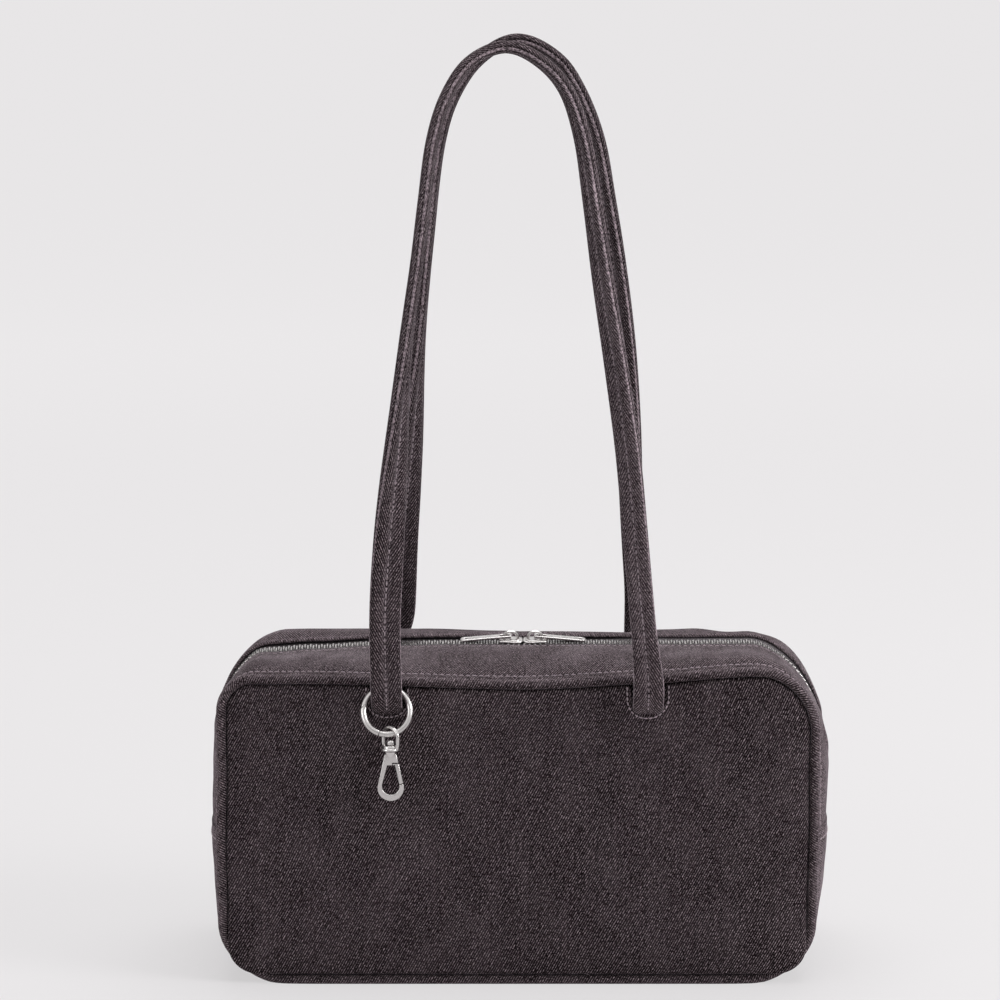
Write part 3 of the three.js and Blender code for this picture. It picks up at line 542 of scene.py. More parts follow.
def washed_denim(finish):
    """Washed black denim, a 3/1 twill: three dark warp threads show for each pale weft thread, which
    gives the eye steep pale lines, flecked where single threads are thicker or more worn."""
    material, tree, shader = blank_material("Washed black denim twill")
    if tree is None:
        return material
    # Real threads are about 0.25 mm wide. They are drawn coarser, so that the lines show.
    warp, weft = 0.000315, 0.00058
    place = add(tree, "UVMap", uv_map="Weave")
    parts = add(tree, "SeparateXYZ", {0: place})
    u = add(tree, "Math", {0: parts.outputs[0], 1: warp}, operation="DIVIDE")
    v = add(tree, "Math", {0: parts.outputs[1], 1: weft}, operation="DIVIDE")
    u_count = add(tree, "Math", {0: u}, operation="FLOOR")
    v_count = add(tree, "Math", {0: v}, operation="FLOOR")
    cell = add(tree, "CombineXYZ", {0: u_count, 1: v_count})
    fleck = add(tree, "TexWhiteNoise", {"Vector": cell}, noise_dimensions="2D")
    thread = add(tree, "TexWhiteNoise", {"W": u_count}, noise_dimensions="1D")
    # Uneven spinning shows as grain of about 1 mm, uneven washing as clouds of 20 mm, which are twice
    # as long along the warp
    grain = add(tree, "TexNoise", {"Vector": place, "Scale": 1 / 0.0011, "Detail": 3.0, "Roughness": 0.7})
    drawn = add(tree, "Mapping", {"Vector": place, "Scale": (1.0, 0.5, 1.0)})
    cloud = add(tree, "TexNoise", {"Vector": drawn, "Scale": 1 / 0.02, "Detail": 5.0, "Roughness": 0.7})
    worn_and_painted_light = add(tree, "Attribute", attribute_name="wear_and_painted_light")
    # Each warp thread passes over three weft threads and under one, a step further on for each row
    step = add(tree, "Math", {0: u, 1: v}, operation="SUBTRACT")
    sway = add(tree, "Math", {0: grain, 1: 1.3, 2: step}, operation="MULTIPLY_ADD")
    wave = add(tree, "Math", {0: sway, 1: 2.0}, operation="PINGPONG")
    ridge = add(tree, "MapRange", {"Value": wave, "From Min": 0.8, "From Max": 1.9},
                interpolation_type="SMOOTHSTEP")
    bright = add(tree, "Math", {0: fleck, 1: 0.76, 2: 0.165}, operation="MULTIPLY_ADD")
    line = add(tree, "Math", {0: ridge, 1: bright}, operation="MULTIPLY")
    speck = add(tree, "MapRange", {"Value": grain, "From Min": 0.4, "From Max": 0.64})
    shows = add(tree, "Math", {0: line, 1: speck}, operation="MULTIPLY")
    warp_colour = add(tree, "Mix", {0: thread, 6: opaque(finish.warp_dark), 7: opaque(finish.warp_pale)},
                      data_type="RGBA")
    woven = add(tree, "Mix", {0: shows, 6: warp_colour.outputs[2], 7: opaque(finish.weft)}, data_type="RGBA")
    wash = add(tree, "MapRange", {"Value": cloud, "From Min": 0.45, "From Max": 0.7, "To Max": 0.05})
    # Where the cloth is worn, loose fibres of about 1 mm stand up, brushed front to back; the wear attribute
    # that scales them also holds painted highlights
    body = add(tree, "TexCoord")
    brushed = add(tree, "Mapping", {"Vector": body.outputs["Object"], "Scale": (1.0, 0.45, 1.0)})
    fibre = add(tree, "TexNoise", {"Vector": brushed, "Scale": 1 / 0.0012, "Detail": 2.0, "Roughness": 0.6})
    fuzz = add(tree, "MapRange", {"Value": fibre, "From Min": 0.4, "From Max": 0.62,
                                  "To Min": 0.1, "To Max": 0.85})
    fade = add(tree, "Math", {0: worn_and_painted_light.outputs[2], 1: fuzz, 2: wash}, operation="MULTIPLY_ADD",
               use_clamp=True)
    faded_with_painted_light = add(tree, "Mix", {0: fade, 6: woven.outputs[2], 7: opaque(finish.thread)}, data_type="RGBA")
    rise = add(tree, "Math", {0: ridge, 1: -0.7, 2: grain}, operation="MULTIPLY_ADD")
    bump = add(tree, "Bump", {"Height": rise, "Strength": 0.7, "Distance": 0.0003})
    # The pile that catches light from the side is thicker in the paler clouds
    pile = add(tree, "MapRange", {"Value": cloud, "From Min": 0.38, "From Max": 0.62,
                                  "To Min": 0.08, "To Max": 0.5})
    connect(tree, shader, {"Base Color": faded_with_painted_light.outputs[2], "Normal": bump, "Roughness": 0.95,
                           "Specular IOR Level": 0.02, "Sheen Weight": pile, "Sheen Roughness": 0.22,
                           "Sheen Tint": opaque(linear("fff0f8"))})
    return material


def polyester_thread(finish):
    """Spun polyester sewing thread, two plies twisted together: a pale matt dash with a faint slant."""
    material, tree, shader = blank_material("Spun polyester thread")
    if tree is None:
        return material
    place = add(tree, "TexCoord")
    # Plies of 0.6 mm
    ply = add(tree, "TexNoise", {"Vector": place.outputs["Object"], "Scale": 1 / 0.0006, "Detail": 2.0})
    mixed = add(tree, "Mix", {0: ply, 6: opaque(finish.thread, 0.55), 7: opaque(finish.thread)},
                data_type="RGBA")
    connect(tree, shader, {"Base Color": mixed.outputs[2], "Roughness": 0.8, "Sheen Weight": 0.2})
    return material


def cotton_lining(finish):
    """Plain woven cotton: one thread over, one under, which shows as a fine even grid."""
    material, tree, shader = blank_material("Plain woven cotton")
    if tree is None:
        return material
    place = add(tree, "TexCoord")
    # Threads of 0.4 mm
    check = add(tree, "TexChecker", {"Vector": place.outputs["Object"], "Scale": 1 / 0.0004,
                                     "Color1": opaque(finish.lining), "Color2": opaque(finish.lining, 0.7)})
    bump = add(tree, "Bump", {"Height": check.outputs[1], "Strength": 0.3, "Distance": 0.0001})
    connect(tree, shader, {"Base Color": check, "Normal": bump, "Roughness": 0.9})
    return material


def woven_tape(finish):
    """Polyester zip tape, woven in a herringbone: dark, with slanted ribs about 1.3 mm apart."""
    material, tree, shader = blank_material("Woven polyester tape")
    if tree is None:
        return material
    place = add(tree, "UVMap", uv_map="Weave")
    slant = add(tree, "Mapping", {"Vector": place, "Rotation": (0, 0, math.radians(35))})
    # A wave texture's bands are 20 to the unit at scale 1, divided by 2 pi
    ribs = add(tree, "TexWave", {"Vector": slant, "Scale": 2 * math.pi / 20 / 0.0013, "Distortion": 0.6,
                                 "Detail": 1.0}, bands_direction="X")
    mixed = add(tree, "Mix", {0: ribs.outputs[1], 6: opaque(finish.tape), 7: opaque(finish.tape, 3.2)},
                data_type="RGBA")
    bump = add(tree, "Bump", {"Height": ribs.outputs[1], "Strength": 0.6, "Distance": 0.0002})
    connect(tree, shader, {"Base Color": mixed.outputs[2], "Normal": bump, "Roughness": 0.75})
    return material


def polished_nickel(finish):
    """Bright nickel plate on the stamped teeth: a hard white glint on each, dark where it turns away."""
    material, tree, shader = blank_material("Polished nickel plate")
    if tree is None:
        return material
    place = add(tree, "TexCoord")
    # Dull spots of 1 mm, where the tumbling left the plate thin
    spots = add(tree, "TexNoise", {"Vector": place.outputs["Object"], "Scale": 1 / 0.001, "Detail": 2.0})
    rough = add(tree, "MapRange", {"Value": spots, "To Min": 0.15, "To Max": 0.35})
    connect(tree, shader, {"Base Color": opaque(finish.nickel, 0.82), "Metallic": 1.0, "Roughness": rough})
    return material


def satin_nickel(finish):
    """Cast zinc with satin nickel plate: a soft grey shine with fine brush marks and handling marks."""
    material, tree, shader = blank_material("Satin nickel plate")
    if tree is None:
        return material
    place = add(tree, "TexCoord")
    stretched = add(tree, "Mapping", {"Vector": place.outputs["Object"], "Scale": (1.0, 1.0, 0.15)})
    # Brush marks 0.15 mm apart, and soft cloudy marks of 3 mm
    brush = add(tree, "TexNoise", {"Vector": stretched, "Scale": 1 / 0.00015, "Detail": 3.0})
    marks = add(tree, "TexNoise", {"Vector": place.outputs["Object"], "Scale": 1 / 0.003, "Detail": 4.0})
    rough = add(tree, "MapRange", {"Value": marks, "To Min": 0.2, "To Max": 0.36})
    mixed = add(tree, "Mix", {0: marks, 6: opaque(finish.nickel, 0.78), 7: opaque(finish.nickel)},
                data_type="RGBA")
    bump = add(tree, "Bump", {"Height": brush, "Strength": 0.12, "Distance": 0.00005})
    connect(tree, shader, {"Base Color": mixed.outputs[2], "Metallic": 1.0, "Roughness": rough,
                           "Normal": bump})
    return material


def black_board():
    """Pressed polyethylene sheet: a dull black with a fine pebbled grain."""
    material, tree, shader = blank_material("Grained polyethylene sheet")
    if tree is None:
        return material
    place = add(tree, "TexCoord")
    # Pebbles of 1.2 mm
    grain = add(tree, "TexVoronoi", {"Vector": place.outputs["Object"], "Scale": 1 / 0.0012})
    tint = add(tree, "Mix", {0: grain, 6: opaque(linear("242223")), 7: opaque(linear("383536"))},
               data_type="RGBA")
    bump = add(tree, "Bump", {"Height": grain, "Strength": 0.3, "Distance": 0.0002})
    connect(tree, shader, {"Base Color": tint.outputs[2], "Normal": bump, "Roughness": 0.6})
    return material


# Cloth pieces

def notch_path(h, x):
    """One U-shaped notch in x and z, from its upper left corner to its upper right one."""
    play, steps = 0.0008, 12
    half, low = h.notch_width / 2, h.hinge - h.end_length + play
    r = h.notch_radius
    corners = []
    for centre, start in ((x - half + r, math.pi), (x + half - r, 1.5 * math.pi)):
        angles = np.linspace(start, start + math.pi / 2, steps)
        corners.append(np.stack([centre + r * np.cos(angles), low + r + r * np.sin(angles)], 1))
    return np.concatenate(corners)


def resampled(points, gap):
    """A closed outline with points about one gap apart."""
    ring = np.concatenate([points, points[:1]])
    s = travelled(ring)
    return sampled(np.linspace(0, s[-1], int(s[-1] / gap), endpoint=False), s, ring)


def panel_outline(b, h, side):
    """The edge of a panel in x and z, with a notch for each end of its handle."""
    welt_gap, lip, reach, spacing = 0.0002, 0.0024, 0.01, 0.0011
    loop, out = panel_loop(b, side, b.base_radius)
    edge = loop - out * (b.welt_radius + welt_gap)
    top = edge[:, 1] > b.seam_high - 0.006
    parts = []
    last = 0
    for x in (-h.spread / 2, h.spread / 2):
        inside = np.flatnonzero(top & (np.abs(edge[:, 0] - x) < h.notch_width / 2 + lip))
        notch = notch_path(h, x)
        z = edge[inside[0], 1]
        corners = []
        for corner, away in ((notch[0], -1), (notch[-1], 1)):
            at = np.array([corner[0], z])
            arc = fillet(at + (away * reach, 0), at, at - (0, reach), lip, 8)
            corners.append(arc if away < 0 else arc[::-1])
        parts += [edge[last:inside[0]], corners[0], notch, corners[1]]
        last = inside[-1] + 1
    parts.append(edge[last:])
    return resampled(np.concatenate(parts), spacing)


def inset_ring(ring, distance):
    """A closed outline drawn in by a distance."""
    return ring - outward(ring, closed=True) * distance


def nearest(points, line, chunk=2000):
    """The distance of each point from the nearest point of a line."""
    best = []
    for i in range(0, len(points), chunk):
        gap = points[i:i + chunk, None] - line[None]
        best.append(np.sqrt((gap ** 2).sum(2)).min(1))
    return np.concatenate(best)


def tucked(x, z):
    """One at the lower corners, where the seam is drawn in behind the panel, and nothing elsewhere."""
    return hump(np.abs(x), 0.134, 0.017) * hump(z, 0.013, 0.017)


def panel_height(b, xz, loop):
    """How far a panel stands out from the middle of the bag: a rounded rim, a crown and a low belly."""
    rim_width, tuck, belly, give = 0.0185, 0.0012, 0.0012, 0.0008
    x, z = xz[:, 0], xz[:, 1]
    share = np.clip(nearest(xz, loop) / rim_width, 0, 1)
    bulge = (1 - (x / 0.15) ** 2) * (1 - ((z - 0.075) / 0.085) ** 2)
    rim = b.depth / 2 + b.panel_seat - tuck * tucked(x, z) * (1 - share) ** 2
    # The cloth gives way a little behind the clasp, where the hook turns
    dent = hump(x, -0.0616, 0.012) * hump(z, 0.095, 0.022)
    return rim + b.panel_crown * (1 - (1 - share) ** 2) + belly * bulge - give * dent


def make_panel(b, h, side, name):
    """A panel: rounded edges all round, also in the two notches, and a soft crown."""
    roll, mesh_gap, rim_gap, thinnest = 0.0019, 0.0026, 0.0015, 0.0002
    loop = panel_loop(b, side, b.base_radius)[0]
    ring = panel_outline(b, h, side)
    steps = np.array([0, 0.00015, 0.0005, 0.0011, roll])
    rings = [inset_ring(ring, step) for step in steps]
    count, last = len(ring), (len(steps) - 1) * len(ring)
    inner = rings[-1]
    xs, zs = np.meshgrid(np.arange(-0.15, 0.15, mesh_gap), np.arange(0, 0.16, mesh_gap))
    fill = np.stack([xs.ravel(), zs.ravel()], 1)
    fill = fill[nearest(fill, inner) > rim_gap]
    flat = [Vector(point) for point in np.concatenate([inner, fill])]
    found = delaunay_2d_cdt(flat, [], [list(range(count))], 1, 1e-9)
    order = {first: k for k, firsts in enumerate(found[3]) for first in firsts}
    faces = []
    for r in range(len(steps) - 1):
        for k in range(count):
            n = (k + 1) % count
            far = (last + order[n], last + order[k]) if r == len(steps) - 2 else \
                ((r + 1) * count + n, (r + 1) * count + k)
            faces.append((r * count + k, r * count + n, *far))
    faces += [tuple(last + v for v in cell) for cell in found[2]]
    xz = np.concatenate([*rings[:-1], np.array([tuple(point) for point in found[0]])])
    sink = np.zeros(len(xz))
    sink[:last] = np.repeat(roll - np.sqrt(roll ** 2 - (roll - steps[:-1]) ** 2), count)
    height = panel_height(b, xz, loop)
    outside = height - sink
    inside = np.minimum(outside - thinnest, height - b.panel_cloth)
    skins = [np.stack([xz[:, 0], side * y, xz[:, 1]], 1) for y in (outside, inside)]
    points = slump(np.concatenate(skins))
    under = len(xz)
    faces += [tuple(under + v for v in face[::-1]) for face in faces]
    faces += [(k, under + k, under + (k + 1) % count, (k + 1) % count) for k in range(count)]
    flow = np.tile(np.stack([xz[:, 0] * -side, xz[:, 1]], 1), (2, 1))
    uvs = [flow[v] for face in faces for v in face]
    return close_normals(make_mesh(name, points, faces, uvs, np.zeros(len(points))), 1e-7)


def on_panel(b, xz, side):
    """Points on the face of a panel, for its stitching."""
    loop = panel_loop(b, side, b.base_radius)[0]
    return slump(np.stack([xz[:, 0], side * panel_height(b, xz, loop), xz[:, 1]], 1))


class BOWLER_OT_panels(bpy.types.Operator):
    """Make the front and back panels with the facings behind their notches"""
    bl_idname = "bowler.panels"
    bl_label = "Panels"

    def execute(self, context):
        bag = context.scene.bowler_bag
        b, h = bag.body, bag.handle
        denim, thread = washed_denim(bag.finish), polyester_thread(bag.finish)
        for side, name in ((FRONT, "front"), (BACK, "back")):
            panel = make_panel(b, h, side, f"{name}_panel_cloth")
            dress(panel, denim, "denim", "bag", f"{name}_panel")
            for hand, x in (("left", -h.spread / 2), ("right", h.spread / 2)):
                self.facing(b, h, side, f"{name}_handle_facing_{hand}", x, denim)
                row = self.stitching(b, h, side, f"{name}_notch_stitching_{hand}", x)
                dress(row, thread, "denim", "bag")
        return {"FINISHED"}

    def stitching(self, b, h, side, name, x):
        """The row of short stitches round a notch."""
        inset, lip = 0.0019, b.seam_high - 0.003
        path = notch_path(h, x)
        path = path - outward(path) * inset
        ends = np.array([[path[0, 0], lip], [path[-1, 0], lip]])
        points = on_panel(b, np.concatenate([ends[:1], path, ends[1:]]), side)
        normals = np.tile([0.0, side, 0.0], (len(points), 1))
        return stitch_row(name, points, normals, pitch=0.0024, stitch=0.0019)

    def facing(self, b, h, side, node, x, denim):
        """The cloth that lies behind a notch."""
        overlap, deep, lip = 0.004, 0.0052, b.seam_high - 0.003
        half = h.notch_width / 2 + overlap
        low = h.hinge - h.end_length - 0.005
        grid_x, grid_z = np.meshgrid(np.linspace(x - half, x + half, 15), np.linspace(low, lip, 13))
        depth = b.depth / 2 + b.panel_seat + b.panel_crown - deep
        lean = 0.0018 * smooth(b.seam_high - 0.012, lip, grid_z)
        grid = slump(np.stack([grid_x, side * (depth - lean), grid_z], 2))
        piece = loft(f"{node}_cloth", grid, np.stack([grid_x, grid_z], 2))
        thicken(face_out(piece), 0.001)
        dress(piece, denim, "denim", "bag", node)


class BOWLER_OT_welts(bpy.types.Operator):
    """Make the rolled welts round both panels"""
    bl_idname = "bowler.welts"
    bl_label = "Welts"

    def execute(self, context):
        bag = context.scene.bowler_bag
        b = bag.body
        denim = washed_denim(bag.finish)
        count, draw_in, plump = 18, 0.0045, 1.02
        for side, name in ((FRONT, "front"), (BACK, "back")):
            loop, out = panel_loop(b, side, b.tuck_radius)
            angles = np.linspace(0, 2 * math.pi, count, endpoint=False)
            reach = b.welt_radius * np.cos(angles)[None] * np.ones((len(loop), 1))
            x = loop[:, None, 0] + out[:, None, 0] * reach
            z = loop[:, None, 1] + out[:, None, 1] * reach
            y = side * (b.depth / 2 - draw_in * tucked(x, z))
            y = y + plump * b.welt_radius * np.sin(angles)[None]
            grid = slump(np.stack([x, y, np.maximum(z, 0.0)], 2))
            s = travelled(np.concatenate([loop, loop[:1]]))
            around = np.linspace(0, 2 * math.pi * b.welt_radius, count + 1)
            uv = np.stack(np.broadcast_arrays(s[:, None], around[None]), 2)
            # The welt is paler on its outer side, where it is worn; at the ends of the bag it is painted
            # paler still, a painted highlight for the light that the sides catch at a grazing angle
            wear_and_painted_light = 0.05 + 0.2 * np.cos(angles)[None] + 0.12 * smooth(0.135, 0.15, np.abs(x))
            wear_and_painted_light = np.clip(wear_and_painted_light, 0, 1)
            welt = loft(f"{name}_welt_roll", grid, uv, loop=True, tube=True, wear_and_painted_light=wear_and_painted_light)
            close_normals(welt, 1e-7)
            dress(welt, denim, "denim", "bag", f"{name}_welt")
        return {"FINISHED"}


class BOWLER_OT_gusset(bpy.types.Operator):
    """Make the zip strips and the base strip with their top stitching"""
    bl_idname = "bowler.gusset"
    bl_label = "Gusset"

    def execute(self, context):
        bag = context.scene.bowler_bag
        b, zipper = bag.body, bag.zip
        runs = body_runs(b, b.tuck_radius)
        denim, thread = washed_denim(bag.finish), polyester_thread(bag.finish)
        edge = b.depth / 2
        line = edge - b.stitch_inset
        stitch_dip, dip_width, fold_stitch = 0.00045, 0.0008, 0.0024
        # The sides are painted paler than the rest: a painted highlight for the light that they catch at a
        # grazing angle
        plain_wear, side_painted_highlight = 0.12, 0.24
        for side, name, fold in ((FRONT, "front", zipper.front_fold), (BACK, "back", zipper.back_fold)):
            # From under the welt, over the strip, round the fold and back under it
            across = np.concatenate([
                [edge - 0.0008, edge - 0.0018], np.linspace(edge - 0.0026, fold + 0.0016, 34),
                [fold + 0.0007, fold + 0.0001, fold - 0.0002, fold + 0.0002, fold + 0.0012, fold + 0.006]])
            below = np.zeros(len(across))
            below[:2] = 0.0014, 0.0004
            below[-6:] = 0.0, 0.0003, 0.0009, 0.0014, 0.0017, 0.0018
            below += stitch_dip * hump(across, line, dip_width)
            below += 0.0003 * hump(across, fold + fold_stitch, 0.0006) * (below < 0.001)
            below -= self.swell(zipper, side, across)
            grid = slump(gusset_points(b, runs["upper"], side * across, below))
            wear_and_painted_light = np.full(len(across), plain_wear)
            wear_and_painted_light[-7:-2] = 0.3 if side == BACK else 0.16
            wear_and_painted_light = wear_and_painted_light[None] + side_painted_highlight * (1 - smooth(0.095, 0.14, grid[..., 2]))
            strip = self.strip(f"zip_strip_{name}_cloth", grid, wear_and_painted_light)
            dress(strip, denim, "denim", "bag", f"zip_strip_{name}")
            self.row(b, runs["upper"], side * line, 0.0, f"welt_stitching_{name}", thread)
            self.row(b, runs["lower"], side * line, 0.0, f"base_stitching_{name}", thread)
            if side == FRONT:
                place = fold + fold_stitch
                lift = self.swell(zipper, side, place)
                self.row(b, runs["upper"], side * place, lift, "zip_stitching_front", thread, 0.00022)
        across = np.linspace(-edge + 0.0016, edge - 0.0016, 75)
        below = stitch_dip * hump(np.abs(across), line, dip_width)
        below[[0, -1]] = 0.0007
        grid = gusset_points(b, runs["lower"], across, below - 0.0007)
        grid[..., 2] = np.maximum(grid[..., 2], 0)
        # The base strip's rising sides get the same painted highlight
        wear_and_painted_light = plain_wear + side_painted_highlight * smooth(0.01, 0.03, grid[..., 2])
        base = self.strip("base_strip_cloth", slump(grid), wear_and_painted_light)
        dress(base, denim, "denim", "bag", "base_strip")
        places = np.linspace(-edge + 0.003, edge - 0.003, 60)
        for hand, station, way in (("left", slice(-4, -3), -1.0), ("right", slice(3, 4), 1.0)):
            run = [(points[station], out[station]) for points, out in runs["lower"]]
            path = slump(gusset_points(b, run, places, -0.0008))[0]
            normals = np.tile([way, 0, 0], (len(path), 1))
            dress(stitch_row(f"side_seam_stitching_{hand}", path, normals), thread, "denim", "bag")
        return {"FINISHED"}

    def strip(self, name, grid, wear_and_painted_light):
        """A strip of cloth over a grid, with its weave along and across it."""
        rows, columns = grid.shape[:2]
        along, across = travelled(grid[:, columns // 2]), travelled(grid[rows // 2])
        uv = np.stack(np.broadcast_arrays(along[:, None], across[None]), 2)
        return thicken(face_out(loft(name, grid, uv, wear_and_painted_light=wear_and_painted_light)), 0.0009)

    @staticmethod
    def swell(zipper, side, across):
        """How far a strip stands over the zip: the front one by a low lip, the back one by a swell."""
        if side == FRONT:
            return 0.0002 * hump(across, zipper.front_fold, 0.004)
        away = across - zipper.back_fold
        return zipper.back_swell * smooth(-0.003, 0.001, away) * (1 - smooth(0.018, 0.036, away))

    def row(self, b, run, place, lift, name, thread, radius=0.00034):
        """One line of top stitching along the gusset."""
        lower = gusset_points(b, run, [place], 0.0)[:, 0]
        upper = gusset_points(b, run, [place], -0.001)[:, 0]
        path = slump(gusset_points(b, run, [place], 0.0002 - lift)[:, 0])
        dress(stitch_row(name, path, upper - lower, radius=radius), thread, "denim", "bag")


class BOWLER_OT_lining(bpy.types.Operator):
    """Make the lining as one sack with a slit under the zip, and finish the base board"""
    bl_idname = "bowler.lining"
    bl_label = "Lining and base board"

    def execute(self, context):
        bag = context.scene.bowler_bag
        b = bag.body
        slit_half, lowest, rounding, cloth = 0.011, 0.0045, 0.003, 0.0006
        loops = [panel_loop(b, side, b.tuck_radius) for side in (FRONT, BACK)]
        run = [(loop[::3], out[::3]) for loop, out in loops]
        depth = b.depth / 2 - b.lining_gap - rounding
        insets = (0.024, 0.016, 0.011, 0.007, 0.0055)
        faces = []
        for side, (loop, out) in zip((FRONT, BACK), run):
            for inset in insets:
                xz = loop - out * inset
                y = np.full(len(xz), side * (depth + 0.0022 * smooth(0.004, 0.02, inset)))
                faces.append(np.stack([xz[:, 0], y, xz[:, 1]], 1))
        across = np.linspace(-depth + rounding, depth - rounding, 14)
        around = gusset_points(b, run, across, b.lining_gap).transpose(1, 0, 2)
        grid = np.concatenate([faces[:len(insets)], around, faces[:len(insets) - 1:-1]])
        grid[..., 2] = np.maximum(grid[..., 2], lowest)
        grid = slump(grid)
        uv = np.zeros((grid.shape[0], grid.shape[1] + 1, 2))
        sack = loft("bag_lining", grid, uv, tube=True, caps=True)
        bm = bmesh.new()
        bm.from_mesh(sack.data)
        slit = [f for f in bm.faces if abs(f.calc_center_median().y) < slit_half
                and f.calc_center_median().z > b.side_seam + 0.004]
        bmesh.ops.delete(bm, geom=slit, context="FACES")
        bmesh.ops.recalc_face_normals(bm, faces=bm.faces)
        bm.to_mesh(sack.data)
        bm.free()
        thicken(face_out(sack), cloth)
        linings = [f"lining_{name}" for name in ("front", "back", "zip_front", "zip_back", "base")]
        dress(sack, cotton_lining(bag.finish), "lining", "bag", *linings)
        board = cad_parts["base_board"].data.materials
        board.clear()
        board.append(black_board())
        return {"FINISHED"}


# Handles

# The line of each strap: places as shares of half the spread, with the height as a share of the rise
FRONT_ARCH = ((-1, 0), (-1.01, 0.1), (-0.98, 0.222), (-0.92, 0.378), (-0.85, 0.535), (-0.765, 0.66),
              (-0.708, 0.758), (-0.645, 0.852), (-0.545, 0.917), (-0.363, 0.972), (-0.08, 0.996),
              (0.179, 0.972), (0.365, 0.93), (0.49, 0.857), (0.566, 0.759), (0.655, 0.625),
              (0.75, 0.497), (0.84, 0.36), (0.9, 0.223), (0.95, 0.106), (1, 0))
BACK_ARCH = ((-1, 0), (-0.955, 0.024), (-0.94, 0.06), (-0.92, 0.162), (-0.885, 0.26), (-0.842, 0.36),
             (-0.783, 0.509), (-0.705, 0.677), (-0.602, 0.846), (-0.495, 0.914), (-0.296, 0.974),
             (0, 1.006), (0.315, 0.974), (0.47, 0.926), (0.615, 0.846), (0.698, 0.749), (0.785, 0.63),
             (0.854, 0.509), (0.9, 0.38), (0.925, 0.25), (0.955, 0.15), (0.985, 0.06), (1, 0))
# Half of a strap's section, from its seam to the groove in its edge: the place across as a share of
# half the width, with the share of the full thickness there
STRAP_SECTION = ((0, 1), (0.045, 1), (0.1, 1), (0.17, 1), (0.26, 1), (0.38, 1), (0.52, 1), (0.66, 0.99),
                 (0.78, 0.95), (0.87, 0.86), (0.94, 0.72), (0.985, 0.54), (1.0, 0.37), (0.985, 0.2),
                 (0.945, 0.08), (0.915, 0.0))


def through(points, per_span=24):
    """A smooth line through all the points, with steps set by the distance between them."""
    points = np.concatenate([[2 * points[0] - points[1]], points, [2 * points[-1] - points[-2]]])
    line = []
    for i in range(1, len(points) - 2):
        p = points[i - 1:i + 3]
        knots = np.concatenate([[0], np.cumsum(np.linalg.norm(np.diff(p, axis=0), axis=1) ** 0.5)])
        t = np.linspace(knots[1], knots[2], per_span, endpoint=False)[:, None]

        def mix(a, b, low, high):
            return a * (high - t) / (high - low) + b * (t - low) / (high - low)

        a1, a2, a3 = (mix(p[k], p[k + 1], knots[k], knots[k + 1]) for k in range(3))
        b1, b2 = mix(a1, a2, knots[0], knots[2]), mix(a2, a3, knots[1], knots[3])
        line.append(mix(b1, b2, knots[1], knots[2]))
    return np.concatenate(line + [points[-2][None]])


def even_line(line, gap):
    """A line with points one gap apart."""
    s = travelled(line)
    return sampled(np.linspace(0, s[-1], int(s[-1] / gap) + 1), s, line)


